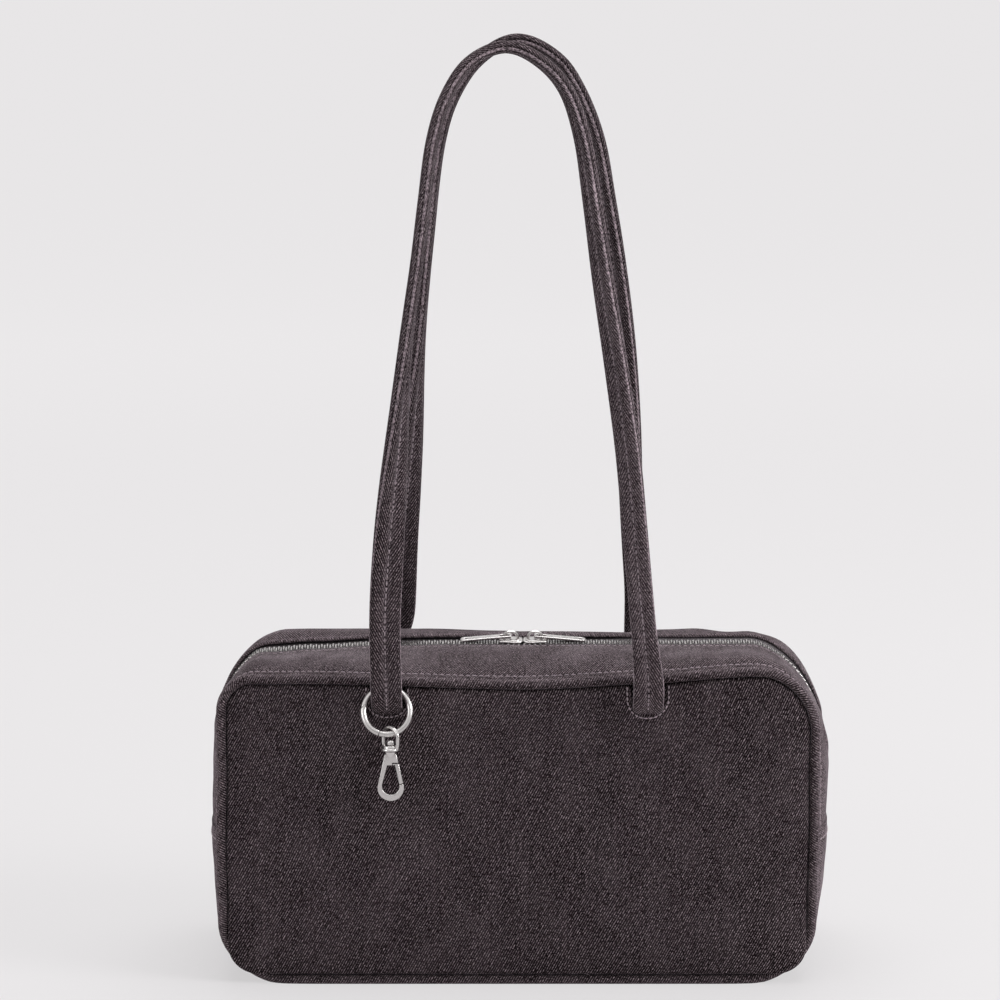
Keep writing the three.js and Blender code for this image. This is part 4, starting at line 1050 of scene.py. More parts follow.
class Strap:
    """The middle line, the turning and the section of one handle with both its ends."""

    def __init__(self, h, side, arch):
        self.line = self.middle_line(h, side, arch)
        self.s = travelled(self.line)
        along = np.gradient(self.line, axis=0)
        along /= np.linalg.norm(along, axis=1)[:, None]
        in_arch = np.cross([0.0, 1.0, 0.0], along)
        in_arch /= np.linalg.norm(in_arch, axis=1)[:, None]
        over = np.cross(along, in_arch)
        rise = (self.line[:, 2] - h.hinge) / h.rise
        first = np.arange(len(self.line)) < len(self.line) / 2
        turned = np.where(first, smooth(0.05, 0.58, rise), np.clip(rise, 0, None) ** 1.2)
        angle = h.twist * turned[:, None]
        self.wide = in_arch * np.cos(angle) + over * np.sin(angle)
        self.thin = np.cross(along, self.wide)
        ends = smooth(h.hinge - 0.012, h.hinge, self.line[:, 2])
        tip_radius = 0.006
        near_tip = np.clip(tip_radius - np.minimum(self.s, self.s[-1] - self.s), 0, None)
        pulled = tip_radius - np.sqrt(np.clip(tip_radius ** 2 - near_tip ** 2, 0, None))
        self.width = h.end_width + (h.width - h.end_width) * ends - 1.3 * pulled
        right_leg = smooth(0, 0.3, np.linspace(-1, 1, len(self.line))) * smooth(-0.04, 0.1, rise)
        self.width *= 1 - (1 - h.right_share) * right_leg
        # The front strap's right leg is painted paler, a painted highlight for the light that falls on it
        # from the right and above; the rest has a little even wear
        self.worn_and_painted_light = 0.03 + (0.15 if side == FRONT else 0.0) * right_leg
        self.thickness = h.end_thickness + (h.thickness - h.end_thickness) * ends

    def middle_line(self, h, side, arch):
        """From one tip in its notch up over the arch and down to the other tip."""
        half, foot, steps = h.spread / 2, h.hinge, 12
        points = np.array([(a * half, side * (h.stand_off + (h.meet - h.stand_off) * r), foot + r * h.rise)
                           for a, r in arch])
        t = np.linspace(0, 1, steps, endpoint=False)[:, None]
        tip = np.array([side * 0.0522, foot - h.end_length + 0.0006])
        belly = np.array([side * h.stand_off, foot - h.end_length + 0.0095])
        bend = np.array([side * h.stand_off, foot])
        end = (1 - t) ** 2 * tip + 2 * t * (1 - t) * belly + t * t * bend
        left = np.column_stack([np.full(steps, -half), end])
        right = np.column_stack([np.full(steps, half), end])[::-1]
        line = even_line(np.concatenate([left, through(points), right]), 0.0013)
        for _ in range(14):
            line[1:-1] = 0.5 * line[1:-1] + 0.25 * (line[:-2] + line[2:])
        return line

    def face_middle(self, side):
        """The line of the seam on one face of the strap."""
        half = self.half_thickness(np.zeros(1))
        return self.line + self.thin * (side * half)

    def half_thickness(self, places, shares=1.0):
        """Half the thickness at some places across: two soft lobes with the seam between them."""
        seam_width, stitch = 0.0017, 0.0032
        seam = hump(places[None] * self.width[:, None] / 2, 0, seam_width)
        pucker = 1 + 0.25 * np.cos(self.s / stitch * 2 * math.pi)[:, None]
        swell = shares * (0.94 + 0.06 * np.sin(np.abs(places) * math.pi))
        sewn = smooth(0.003, 0.012, np.minimum(self.s, self.s[-1] - self.s))[:, None]
        return self.thickness[:, None] / 2 * (swell[None] - 0.42 * seam * pucker * sewn)

    def skin(self):
        """The strap's skin. Its edges show the two folded layers as a narrow groove."""
        half_width, half_deep = 0.0083, 0.0033
        half = np.array(STRAP_SECTION)
        top = np.concatenate([half[:0:-1] * (-1, 1), half])
        section = np.concatenate([np.column_stack([top, np.ones(len(top))]),
                                  np.column_stack([top, -np.ones(len(top))])[-2:0:-1]])
        places, faces = section[:, 0], section[:, 2]
        thick = self.half_thickness(places, section[:, 1]) * faces[None]
        aside = places[None] * self.width[:, None] / 2
        grid = self.line[:, None] + self.wide[:, None] * aside[..., None]
        grid = grid + self.thin[:, None] * thick[..., None]
        around = np.column_stack([places * half_width, section[:, 1] * faces * half_deep])
        across = travelled(np.concatenate([around, around[:1]]))
        from_seam = np.abs(across - across[len(top) // 2])
        from_seam = np.minimum(from_seam, np.abs(from_seam - across[-1] / 2))
        across = from_seam[None] * self.width[:, None] / (2 * half_width)
        uv = np.stack(np.broadcast_arrays(across, self.s[:, None]), 2)
        # The cloth is paler beside the seam, and along the folded edge of the outer face
        from_middle = np.abs(places)
        wear_and_painted_light = 0.2 * hump(from_middle, 0.13, 0.08)
        wear_and_painted_light = wear_and_painted_light + np.where(faces < 0, 1.0, 0.15) * smooth(0.95, 0.99, from_middle)
        return grid, uv, wear_and_painted_light[None] + self.worn_and_painted_light[:, None]


class BOWLER_OT_handles(bpy.types.Operator):
    """Make the two folded straps with their ends in the notches"""
    bl_idname = "bowler.handles"
    bl_label = "Handles"

    def execute(self, context):
        bag = context.scene.bowler_bag
        h = bag.handle
        denim, thread = washed_denim(bag.finish), polyester_thread(bag.finish)
        for side, name, arch in ((FRONT, "front", FRONT_ARCH), (BACK, "back", BACK_ARCH)):
            strap = Strap(h, side, arch)
            grid, uv, wear_and_painted_light = strap.skin()
            piece = loft(f"{name}_strap", grid, uv, tube=True, caps=True, wear_and_painted_light=wear_and_painted_light)
            close_normals(piece, 1e-7)
            nodes = [f"{name}_handle", f"{name}_handle_end_left", f"{name}_handle_end_right"]
            dress(piece, denim, "denim", None, *nodes)
            rows = []
            for face, label in ((-1, "outer"), (1, "inner")):
                path, normals = strap.face_middle(face)[4:-4], strap.thin[4:-4] * face
                row = stitch_row(f"{name}_strap_stitching_{label}", path, normals)
                rows.append(dress(row, thread, "denim", None))
            for part in (piece, *rows):
                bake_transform(part)
        return {"FINISHED"}


# Zip

def parting(zipper, along):
    """How far each row stands off the middle line where the two sliders are."""
    widest, level, closed = 0.002, 0.0048, 0.012
    return widest * (1 - smooth(level, closed, np.abs(along - zipper.slider_meet)))


def chain_run(b):
    """The middle line of the gusset, its normals, and the distance along it from the middle of the bag."""
    run = body_runs(b, b.tuck_radius)["upper"]
    line = gusset_points(b, run, [0.0], 0.0)[:, 0]
    under = gusset_points(b, run, [0.0], MM)[:, 0]
    s = travelled(line)
    middle = np.interp(0.0, line[:, 0], s)
    return line, (line - under) / MM, s - middle


def on_chain(b, along, across, height):
    """Points over the zip: places along and across it, and heights over the crown of the gusset."""
    line, up, s = chain_run(b)
    base = sampled(along, s, line) + sampled(along, s, up) * height[..., None]
    base[..., 1] += across
    return slump(base)


class BOWLER_OT_zip(bpy.types.Operator):
    """Make the teeth, the cords and the tapes of the zip"""
    bl_idname = "bowler.zip"
    bl_label = "Zip"

    def execute(self, context):
        bag = context.scene.bowler_bag
        b, zipper = bag.body, bag.zip
        s = chain_run(b)[2]
        for side, name, shift in ((FRONT, "front", 0.0), (BACK, "back", 0.5)):
            self.teeth(b, zipper, side, f"zip_teeth_{name}", s, shift, polished_nickel(bag.finish))
            self.tape(b, zipper, side, f"zip_tape_{name}", s, woven_tape(bag.finish))
        return {"FINISHED"}

    def teeth(self, b, zipper, side, node, s, shift, nickel):
        """One row of stamped teeth, each a waisted block that grips the cord."""
        end_room, round_over = 0.006, 0.0004
        count = int((s[-1] - s[0] - end_room) / zipper.pitch)
        first = -(count - 1) / 2 * zipper.pitch + (shift - 0.25) * zipper.pitch
        middles = first + np.arange(count) * zipper.pitch
        top, foot = zipper.tooth_proud, zipper.tooth_proud - zipper.tooth_thickness
        reach, edge = zipper.tooth_reach, zipper.comb_edge - 0.0002
        # Half of a tooth from its nose to its foot: places across, with half its width in millimetres
        outline = [(-reach, 0.28), (-reach + 0.0005, 0.5), (0.0004, 0.34), (0.0011, 0.5),
                   (edge - 0.0004, 0.55), (edge, 0.36)]
        ring = outline + [(y, -w) for y, w in outline[::-1]]
        # Heights, with the shares of the tooth's width and of its length there
        levels = [(foot, 0.8, 0.93), (foot + round_over, 1.0, 1.0), (top - round_over, 1.0, 1.0),
                  (top, 0.72, 0.85)]
        centre = (edge - reach) / 2
        along, across, height = np.array([(w * MM * size, centre + (y - centre) * extent, z)
                                          for z, size, extent in levels for y, w in ring]).T
        gap = parting(zipper, middles)[:, None]
        points = on_chain(b, middles[:, None] + along[None], side * (across[None] + gap), height[None])
        n = len(ring)
        one = ring_quads(len(levels), n)
        for level, flip in ((0, True), (len(levels) - 1, False)):
            for k in range(len(outline) - 1):
                a, c = level * n + k, level * n + n - 1 - k
                quad = (a, a + 1, c - 1, c)
                one.append(quad[::-1] if flip else quad)
        piece = make_mesh(f"{node}_row", points, repeated(one, n * len(levels), count))
        dress(polish(close_normals(piece, 1e-8)), nickel, "satin_nickel", "bag", node)

    def tape(self, b, zipper, side, node, s, material):
        """A tape with its rolled cord, from the teeth to under the fold of the strip."""
        end_room, cord = 0.0006, 0.0013
        along = np.linspace(s[0] + end_room, s[-1] - end_room, 320)
        edge, fold = zipper.comb_edge, 0.006
        across = np.array([cord, 0.0014, 0.0018, 0.0023, 0.0027, 0.0031, 0.0036, 0.0045, 0.0052, fold,
                           0.0075, 0.010, zipper.tape_reach])
        height = np.array([-0.0016, -0.0010, -0.0006, -0.0005, -0.0007, -0.0010, -0.0012, -0.0013, -0.0014,
                           -0.0020, -0.0024, -0.0025, -0.0026])
        # At the right the back tape climbs to the fold, at the left a dark slit is left between them
        under = 0.002 - 0.0015 * smooth(0.02, 0.07, along)[:, None] * (side == BACK)
        height = height[None] + BOWLER_OT_gusset.swell(zipper, side, across[None] - under)
        gap = parting(zipper, along)[:, None] * (1 - smooth(edge, fold, across))[None]
        grid = on_chain(b, along[:, None], side * (across[None] + gap), height)
        uv = np.stack(np.broadcast_arrays(along[:, None], travelled(grid[0])[None]), 2)
        piece = thicken(face_out(loft(f"{node}_cloth", grid, uv)), 0.0006)
        dress(piece, material, "zip_tape", "bag", node)


# Hardware

def from_curve(name, paths, closed, **settings):
    """A mesh made from a curve, with one straight-sided line for each path of points."""
    curve = bpy.data.curves.new(name, "CURVE")
    for key, value in settings.items():
        setattr(curve, key, value)
    for path in paths:
        spline = curve.splines.new("POLY")
        spline.points.add(len(path) - 1)
        for point, place in zip(spline.points, path):
            point.co = (*place, 0)[:3] + (1,)
        spline.use_cyclic_u = closed
    select_only(new_piece(name, curve))
    bpy.ops.object.convert(target="MESH")
    return close_normals(bpy.context.object, 2e-6)


def stamped(name, outlines, thickness, edge=0.0003):
    """A flat plate cut to closed outlines, with rounded edges. The plate lies in X and Y, centred on Z."""
    return from_curve(name, outlines, True, dimensions="2D", fill_mode="BOTH", extrude=thickness / 2 - edge,
                      bevel_depth=edge, bevel_resolution=2, offset=-edge)


def rod(name, path, radius):
    """A bent round rod along a path in X, Y and Z."""
    return from_curve(name, [path], False, dimensions="3D", bevel_depth=radius, bevel_resolution=3,
                      use_fill_caps=True)


def set_down(piece, matrix):
    """Moves a piece to its place and puts the place into its mesh."""
    select_only(piece)
    piece.matrix_world = matrix
    bpy.ops.object.transform_apply(location=True, rotation=True, scale=True)
    return piece


def joined(name, pieces):
    """Several pieces as one, under a new name."""
    select_only(pieces[0])
    for piece in pieces[1:]:
        piece.select_set(True)
    bpy.ops.object.join()
    piece = bpy.context.object
    piece.name = piece.data.name = name
    return piece


def polish(piece, angle=35):
    """Shades a piece smooth, but for its edges sharper than an angle in degrees."""
    select_only(piece)
    bpy.ops.object.shade_smooth_by_angle(angle=math.radians(angle))
    return piece


def turned(name, profile, steps=40):
    """A piece turned on a lathe: a profile of radius and height, spun about Z."""
    mesh = bpy.data.meshes.new(name)
    edges = [(k, k + 1) for k in range(len(profile) - 1)]
    mesh.from_pydata([(r, 0, z) for r, z in profile], edges, [])
    piece = new_piece(name, mesh)
    with edit_mode(piece):
        bpy.ops.mesh.spin(steps=steps, angle=2 * math.pi, center=(0, 0, 0), axis=(0, 0, 1))
    return close_normals(piece, 2e-6)


def wire_arc(name, radius, wire, start, end):
    """A length of the ring's round wire, between two angles in X and Z, open at its ends."""
    sweep, step = end - start, 0.06
    bpy.ops.object.select_all(action="DESELECT")
    bpy.ops.mesh.primitive_circle_add(vertices=24, radius=wire / 2, location=(radius, 0, 0))
    piece = bpy.context.object
    piece.name = piece.data.name = name
    bpy.ops.object.transform_apply(location=True)
    set_down(piece, Matrix.Rotation(-start, 4, "Y"))
    with edit_mode(piece):
        bpy.ops.mesh.spin(steps=int(abs(sweep) / step), angle=sweep, center=(0, 0, 0), axis=(0, 1, 0))
    return piece


def cut_end(piece, point, normal):
    """Cuts a wire across near one point and keeps what lies behind the cut."""
    reach = 0.0045
    with edit_mode(piece):
        bpy.ops.mesh.select_all(action="DESELECT")
        bm = bmesh.from_edit_mesh(piece.data)
        for face in bm.faces:
            face.select = (face.calc_center_median() - point).length < reach
        bmesh.update_edit_mesh(piece.data)
        bpy.ops.mesh.bisect(plane_co=point, plane_no=normal, use_fill=True, clear_outer=True)
    return piece


class BOWLER_OT_sliders(bpy.types.Operator):
    """Make the two zip sliders and their pulls"""
    bl_idname = "bowler.sliders"
    bl_label = "Zip sliders and pulls"

    def execute(self, context):
        bag = context.scene.bowler_bag
        b, zipper = bag.body, bag.zip
        nickel = satin_nickel(bag.finish)
        crown, half_gap = b.seam_high + b.gusset_seat + b.gusset_crown, 0.00015
        for hand, turned_by, away in (("left", math.pi, -1), ("right", 0.0, 1)):
            place = Matrix.Translation((zipper.slider_meet + away * half_gap, 0, crown))
            place = place @ Matrix.Rotation(zipper.slider_lean, 4, "X") @ Matrix.Rotation(turned_by, 4, "Z")
            slider = set_down(self.slider(zipper, f"zip_slider_{hand}_body"), place)
            dress(polish(slider), nickel, "satin_nickel", f"zip_slider_{hand}", f"zip_slider_{hand}")
            pull = set_down(self.pull(zipper, f"zip_pull_{hand}_tab"), place)
            dress(polish(pull), nickel, "satin_nickel", f"zip_pull_{hand}", f"zip_pull_{hand}")
        return {"FINISHED"}

    def outline(self, zipper, inset):
        """A slider's plate from above, broad at its nose, drawn in by an inset."""
        nose, tail = zipper.nose_width / 2 - inset, zipper.tail_width / 2 - inset
        end = zipper.slider_length
        right = [(inset, -nose * 0.45), (inset + 0.0004, -nose * 0.72), (inset + 0.0013, -nose * 0.92),
                 (0.0028, -nose), (0.0055, -nose * 0.98), (0.0082, -tail), (end - 0.0012, -tail),
                 (end - inset, -tail + 0.001)]
        return right + [(x, -y) for x, y in right[::-1]]

    def slider(self, zipper, name):
        """Two plates on a post, a ridge on the upper one, and a bail for the pull."""
        play, plate = 0.0004, zipper.plate
        top = zipper.tooth_proud + play
        foot = zipper.tooth_proud - zipper.tooth_thickness - play
        base = top + plate
        near, far, side = 0.0004, 0.0026, 0.0006
        corners = [(near, -side), (far, -side), (far, side), (near, side)]
        whole, inner = self.outline(zipper, 0.0), self.outline(zipper, 0.0011)
        parts = []
        for label, outline, thickness, edge, middle in (
                ("upper", whole, plate, 0.0003, top + plate / 2),
                ("lower", whole, plate, 0.0003, foot - plate + plate / 2),
                ("ridge", inner, 0.0006, 0.00025, base + 0.0001),
                ("post", corners, top - foot + 0.001, 0.0002, (top + foot) / 2)):
            part = stamped(label, [outline], thickness, edge)
            parts.append(set_down(part, Matrix.Translation((0, 0, middle))))
        half, rise, square = 0.0037, 0.0043, 0.8
        hoop = [(0.006 - half * math.copysign(abs(math.cos(a)) ** square, math.cos(a)), 0,
                 base - 0.0003 + rise * math.sin(a) ** square) for a in np.linspace(0, math.pi, 25)]
        # The bail is a flat strip, wider than it is thick
        parts.append(set_down(rod("bail", hoop, 0.00072), Matrix.Diagonal((1, 1.25, 1, 1))))
        return joined(name, parts)

    def pull(self, zipper, name):
        """A flat tab with a slot for the hoop at one end and a small hole at the other."""
        half, back = zipper.pull_width / 2, 0.0006
        axis_x, axis_z = zipper.slider_length / 2, 0.00345
        start, end = -back, zipper.pull_length - back
        waist, tip_length, hole_radius = half * 0.9, half * 0.8, 0.001
        tip = [(end - tip_length + tip_length * math.sin(a), half * math.cos(a))
               for a in np.linspace(0, math.pi, 15)]
        outline = [(start + 0.0006, -half * 0.92), (start, -half * 0.7), (start, half * 0.7),
                   (start + 0.0006, half * 0.92), (0.0075, waist)] + tip + [(0.0075, -waist)]
        slot = [(0.0006, -0.0014), (0.0051, -0.0014), (0.0055, -0.0007), (0.0055, 0.0007), (0.0051, 0.0014),
                (0.0006, 0.0014)]
        hole = [(end - 0.0028 + hole_radius * math.cos(a), hole_radius * math.sin(a))
                for a in np.linspace(0, 2 * math.pi, 20, endpoint=False)]
        tab = stamped(name, [outline, slot, hole], zipper.pull_thickness)
        place = Matrix.Translation((axis_x, 0, axis_z)) @ Matrix.Rotation(zipper.pull_droop, 4, "Y")
        return set_down(tab, place)


class BOWLER_OT_key_ring(bpy.types.Operator):
    """Make the spring ring and its gate"""
    bl_idname = "bowler.key_ring"
    bl_label = "Spring ring"

    def execute(self, context):
        bag = context.scene.bowler_bag
        hw = bag.hardware
        nickel = satin_nickel(bag.finish)
        radius = (hw.ring_diameter - hw.ring_wire) / 2
        place = Matrix.Translation((-bag.handle.spread / 2,
                                    hw.ring_pivot_y - radius * math.sin(hw.ring_tilt),
                                    hw.ring_pivot_z - radius * math.cos(hw.ring_tilt)))
        place = place @ Matrix.Rotation(-hw.ring_tilt, 4, "X")
        gap = 0.00015 / radius
        free, hinge, spare = hw.gate_free, hw.gate_hinge, 0.2
        slant = (hinge - free) / 2
        ring = wire_arc("key_ring_wire", radius, 1.14 * hw.ring_wire, hinge - spare,
                        free + 2 * math.pi + spare)
        cut_end(ring, *self.joint(radius, free - gap, slant))
        cut_end(ring, *self.joint(radius, hinge + gap, math.pi))
        gate = wire_arc("key_ring_gate_wire", radius, 1.22 * hw.ring_wire, free - spare, hinge + spare)
        cut_end(gate, *self.joint(radius, free + gap, slant + math.pi))
        cut_end(gate, *self.joint(radius, hinge - gap, 0))
        end = hw.ring_wire / 2
        head = [(0.00055, end - 0.0001), (0.00035, end + 0.00015), (0, end + 0.0002)]
        pin = turned("pin", [(r, -z) for r, z in head[::-1]] + head, 20)
        at = hinge + 0.075
        spot = Matrix.Translation((radius * math.cos(at), 0, radius * math.sin(at)))
        set_down(pin, spot @ Matrix.Rotation(math.pi / 2, 4, "X"))
        ring = joined("key_ring_wire", [close_normals(ring), pin])
        for piece, node in ((ring, "key_ring"), (close_normals(gate), "key_ring_gate")):
            finish_with(piece, "BEVEL", width=0.00018, segments=2, limit_method="ANGLE",
                        angle_limit=math.radians(40))
            set_down(piece, place)
            dress(polish(piece, 40), nickel, "satin_nickel", node, node)
        return {"FINISHED"}

    def joint(self, radius, angle, lean):
        """A point on the wire, and the way along it, leaning from the wire's own run."""
        way = angle + math.pi / 2 + lean
        return (Vector((radius * math.cos(angle), 0, radius * math.sin(angle))),
                Vector((math.cos(way), 0, math.sin(way))))


def drop_outline(foot, foot_z, neck, neck_z, steps=40):
    """A drop: a round foot drawn up along two tangents to a narrower neck."""
    lean = math.asin((foot - neck) / (neck_z - foot_z))
    angles = np.linspace(math.pi - lean, 2 * math.pi + lean, steps)
    points = [(foot * math.cos(a), foot_z + foot * math.sin(a)) for a in angles]
    top = neck_z + neck * math.sin(lean)
    return points + [(neck * math.cos(lean), top), (-neck * math.cos(lean), top)]


class BOWLER_OT_clasp(bpy.types.Operator):
    """Make the swivel clasp: its eye, its hook and the hook's gate"""
    bl_idname = "bowler.clasp"
    bl_label = "Swivel clasp"

    def execute(self, context):
        bag = context.scene.bowler_bag
        hw = bag.hardware
        nickel = satin_nickel(bag.finish)
        radius = (hw.ring_diameter - hw.ring_wire) / 2
        drop = radius * (1 + math.cos(hw.clasp_slip))
        place = Matrix.Translation((-bag.handle.spread / 2 + radius * math.sin(hw.clasp_slip),
                                    hw.ring_pivot_y - drop * math.sin(hw.ring_tilt),
                                    hw.ring_pivot_z - drop * math.cos(hw.ring_tilt)))
        play, eye_height, base_height, neck = 0.0009, 0.0078, 0.0026, 0.0022
        hole_top = hw.ring_wire / 2 + play
        floor = hole_top - eye_height
        bottom = floor - base_height
        collar = bottom - 0.0003
        eye = self.eye(hw, hole_top, floor, bottom)
        set_down(eye, place @ Matrix.Rotation(hw.eye_turn, 4, "Z"))
        dress(polish(eye, 40), nickel, "satin_nickel", "clasp_eye", "clasp_eye")
        hook = joined("clasp_hook_frame", [self.hook(hw, collar - neck), self.stem(floor, collar)])
        set_down(hook, place)
        dress(polish(hook, 40), nickel, "satin_nickel", "clasp_hook", "clasp_hook")
        gate = set_down(self.gate(hw, collar - neck), place)
        dress(polish(gate, 40), nickel, "satin_nickel", "clasp_gate", "clasp_gate")
        return {"FINISHED"}

    def eye(self, hw, hole_top, floor, bottom):
        """A bent rod whose two feet stand in a round base of two steps."""
        half = (hw.eye_width - hw.eye_bar) / 2
        crown = hole_top + hw.eye_bar / 2
        arch = [(half * math.cos(a), 0, crown - half + half * math.sin(a))
                for a in np.linspace(0, math.pi, 25)]
        leg = [(half * 0.86, 0, bottom + 0.0012), (half * 0.97, 0, floor + 0.0006)]
        other = [(-x, y, z) for x, y, z in leg[::-1]]
        loop = rod("loop", leg + arch + other, hw.eye_bar / 2)
        bore, step = 0.0015, bottom + 0.0013
        base = turned("base", [(bore, bottom), (0.0044, bottom), (0.00475, bottom + 0.0003),
                               (0.00475, step - 0.0003), (0.0045, step), (0.0041, step + 0.0001),
                               (0.0040, floor - 0.0003), (0.0037, floor), (bore, floor), (bore, bottom)])
        return joined("clasp_eye_loop", [loop, base])

    def stem(self, floor, collar):
        """The rivet on which the hook turns: a domed head inside the eye, and a collar below it."""
        head = floor + 0.0003
        wide, shank = 0.0019, 0.0012
        dome = [(wide * math.cos(a), head + 0.0009 + 0.0015 * math.sin(a))
                for a in np.linspace(0, math.pi / 2, 10)]
        profile = dome[::-1] + [(wide, head), (shank, head), (shank, collar), (0.0026, collar),
                                (0.0029, collar - 0.0003), (0.0029, collar - 0.0011),
                                (0.0024, collar - 0.0022), (0.0022, collar - 0.0028), (0, collar - 0.0028)]
        return turned("stem", profile, 36)

    def outlines(self, hw, top):
        """The outer edge of the hook, its hole, and the height of the hole's top."""
        bottom = top - hw.hook_length
        outer = drop_outline(hw.hook_width / 2, bottom + hw.hook_width / 2, 0.003, top)
        hole_low = bottom + 0.0032
        inner = drop_outline(0.0042, hole_low + 0.0042, 0.0017, hole_low + 0.0158 - 0.0017)
        return outer, inner, hole_low + 0.0158

    def hook(self, hw, top):
        """The frame of the hook, open where its gate is."""
        outer, inner, hole_top = self.outlines(hw, top)
        low = self.foot_cut(hw, hole_top - 0.0106)
        side = [p for p in inner[:-2] if p[0] < 0 or low(p) < 0]
        outline = outer[:-2] + [self.crossing(outer[-3], outer[-2], low), self.inner_cut(inner, low)]
        outline += side[::-1] + [inner[-1], (0.00085, inner[-1][1]), (0.00085, hole_top)]
        outline += [self.crossing(outer[-3], outer[-2], lambda p: p[1] - hole_top)] + outer[-2:]
        return self.upright(stamped("hook", [outline], hw.hook_thickness, 0.0005))

    def gate(self, hw, top):
        """The sprung leg of the hook, whose top hooks into the neck."""
        outer, inner, hole_top = self.outlines(hw, top)
        low = self.foot_cut(hw, hole_top - 0.0106 + 0.0002)
        high = hole_top - 0.0004
        above = [p for p in inner[:-2] if p[0] > 0 and low(p) > 0]
        outline = [self.inner_cut(inner, low), self.crossing(outer[-3], outer[-2], low),
                   self.crossing(outer[-3], outer[-2], lambda p: p[1] - high), (0.00105, high),
                   (0.00105, inner[-2][1]), inner[-2]] + above[::-1]
        return self.upright(stamped("clasp_gate_lever", [outline], hw.hook_thickness * 0.96, 0.0005))

    def foot_cut(self, hw, foot):
        """How far a point lies above the slanted joint at the gate's foot."""
        middle = (0.0084 + hw.hook_width) / 4
        slope = (middle - 0.0019) / (0.0106 - 0.0011)
        return lambda p: p[1] - foot - (p[0] - middle) * slope

    def crossing(self, a, b, test):
        """The point between two others where a test comes to nothing."""
        share = test(a) / (test(a) - test(b))
        return (a[0] + (b[0] - a[0]) * share, a[1] + (b[1] - a[1]) * share)

    def inner_cut(self, inner, test):
        """The point where the joint at the gate's foot meets the hook's hole."""
        line = [p for p in inner[:-1] if p[0] > 0]
        for a, b in zip(line, line[1:]):
            if test(a) < 0 <= test(b):
                return self.crossing(a, b, test)
        raise RuntimeError("the gate's foot misses the hook's hole")

    def upright(self, piece):
        """Stands a plate up, so that it faces the front."""
        return set_down(piece, Matrix.Rotation(math.pi / 2, 4, "X"))


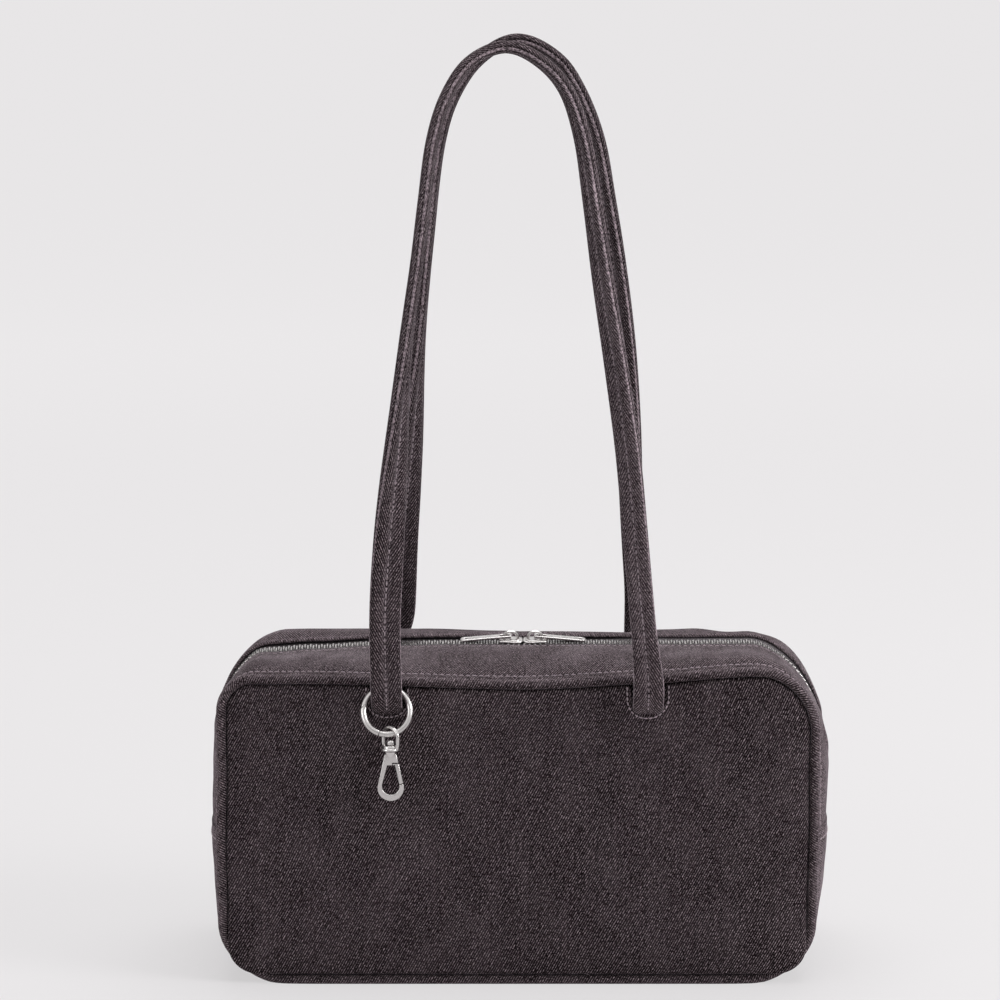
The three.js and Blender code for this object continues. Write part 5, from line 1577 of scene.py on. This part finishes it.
class BOWLER_OT_stage(bpy.types.Operator):
    """Make the studio floor, the soft lights and the camera"""
    bl_idname = "bowler.stage"
    bl_label = "Studio"

    def execute(self, context):
        scene = context.scene
        finish = scene.bowler_bag.finish
        scene.view_settings.view_transform = "Standard"
        bpy.ops.object.select_all(action="DESELECT")
        bpy.ops.mesh.primitive_plane_add(size=300, location=(0, 0, 0))
        floor = context.object
        floor.name = "studio_floor"
        floor.data.materials.append(self.paper(finish))
        world = bpy.data.worlds.new("Soft studio")
        world.use_nodes = True
        tree = world.node_tree
        way = add(tree, "TexCoord")
        parts = add(tree, "SeparateXYZ", {0: way.outputs["Generated"]})
        # The sky that lights the bag is brighter overhead than at the horizon
        high = add(tree, "MapRange", {"Value": parts.outputs[2], "From Max": 0.7, "To Min": 0.32},
                   interpolation_type="SMOOTHSTEP")
        level = add(tree, "Mix", {0: self.seen(tree), 2: 0.22, 3: high}, data_type="FLOAT")
        connect(tree, tree.nodes["Background"], {"Color": (1, 1, 1, 1), "Strength": level})
        scene.world = world
        self.lamp("overhead", (0.1, 0.25, 1.7), (0, 0, 0.1), 1.7, 34)
        self.lamp("left_front", (-1.5, -1.1, 0.65), (0, 0, 0.15), 0.9, 6.2)
        self.lamp("right_front", (1.9, -0.75, 1.15), (0, 0, 0.15), 1.0, 36.5)
        camera = new_piece("camera", bpy.data.cameras.new("camera"))
        camera.data.sensor_width = 36
        camera.data.lens = 120.7
        camera.location = (-0.0085, -1.65, 0.4981)
        camera.rotation_euler = (math.radians(80.884), 0, 0)
        scene.camera = camera
        return {"FINISHED"}

    def paper(self, finish):
        """Seamless paper: it shows its own pale colour to the camera and keeps the shadow of the bag."""
        material = bpy.data.materials.new("Seamless paper")
        material.use_nodes = True
        tree = material.node_tree
        shader = tree.nodes["Principled BSDF"]
        connect(tree, shader, {"Base Color": opaque(finish.floor), "Roughness": 1.0,
                               "Specular IOR Level": 0.0})
        share = add(tree, "Math", {0: self.seen(tree), 1: 0.79}, operation="MULTIPLY")
        place = add(tree, "TexCoord")
        away = add(tree, "VectorMath", {0: place.outputs["Object"]}, operation="LENGTH")
        # The lamps fade away from the bag, and the paper's own glow makes up for it
        level = add(tree, "MapRange", {"Value": away.outputs["Value"], "From Min": -0.2, "From Max": 3.0,
                                       "To Min": 0.9, "To Max": 1.205}, interpolation_type="SMOOTHSTEP")
        glow = add(tree, "Emission", {0: opaque(finish.floor), 1: level})
        mixed = add(tree, "MixShader", {0: share, 1: shader, 2: glow})
        connect(tree, tree.nodes["Material Output"], {0: mixed})
        return material

    def seen(self, tree):
        """One where a ray comes from the camera, or by way of metal or glass."""
        path = add(tree, "LightPath")
        two = add(tree, "Math", {0: path.outputs["Is Camera Ray"], 1: path.outputs["Is Glossy Ray"]},
                  operation="ADD")
        return add(tree, "Math", {0: two, 1: path.outputs["Is Transmission Ray"]}, operation="ADD",
                   use_clamp=True)

    def lamp(self, name, place, target, size, power):
        """A round soft lamp that shines from a place on a target, with a power in watts."""
        data = bpy.data.lights.new(name, "AREA")
        data.shape = "DISK"
        data.size = size
        data.energy = power
        lamp = new_piece(name, data)
        lamp.location = place
        lamp.rotation_euler = (Vector(target) - Vector(place)).to_track_quat("-Z", "Y").to_euler()


class BOWLER_PT_bag(bpy.types.Panel):
    """Show a button for each piece, and every size and finish of the bag"""
    bl_idname = "BOWLER_PT_bag"
    bl_label = "Bowler bag"
    bl_space_type = "VIEW_3D"
    bl_region_type = "UI"
    bl_category = "Bowler Bag"

    def draw(self, context):
        bag = context.scene.bowler_bag
        for operator in OPERATORS:
            self.layout.operator(operator.bl_idname)
        for group in (bag.body, bag.handle, bag.zip, bag.hardware, bag.finish):
            box = self.layout.box()
            for key in type(group).__annotations__:
                box.prop(group, key)


OPERATORS = (BOWLER_OT_stage, BOWLER_OT_panels, BOWLER_OT_welts, BOWLER_OT_gusset, BOWLER_OT_lining,
             BOWLER_OT_handles, BOWLER_OT_zip, BOWLER_OT_sliders, BOWLER_OT_key_ring, BOWLER_OT_clasp)
CLASSES = (BodySizes, HandleSizes, ZipSizes, HardwareSizes, Finishes, BowlerBag, *OPERATORS, BOWLER_PT_bag)


def register():
    """Registers the add-on and gives the scene its sizes."""
    for cls in CLASSES:
        bpy.utils.register_class(cls)
    bpy.types.Scene.bowler_bag = bpy.props.PointerProperty(type=BowlerBag)


def unregister():
    """Takes the add-on out again."""
    del bpy.types.Scene.bowler_bag
    for cls in reversed(CLASSES):
        bpy.utils.unregister_class(cls)


def main():
    """Builds the whole bag."""
    register()
    for operator in OPERATORS:
        group, name = operator.bl_idname.split(".")
        getattr(getattr(bpy.ops, group), name)()


if __name__ == "__main__":
    main()
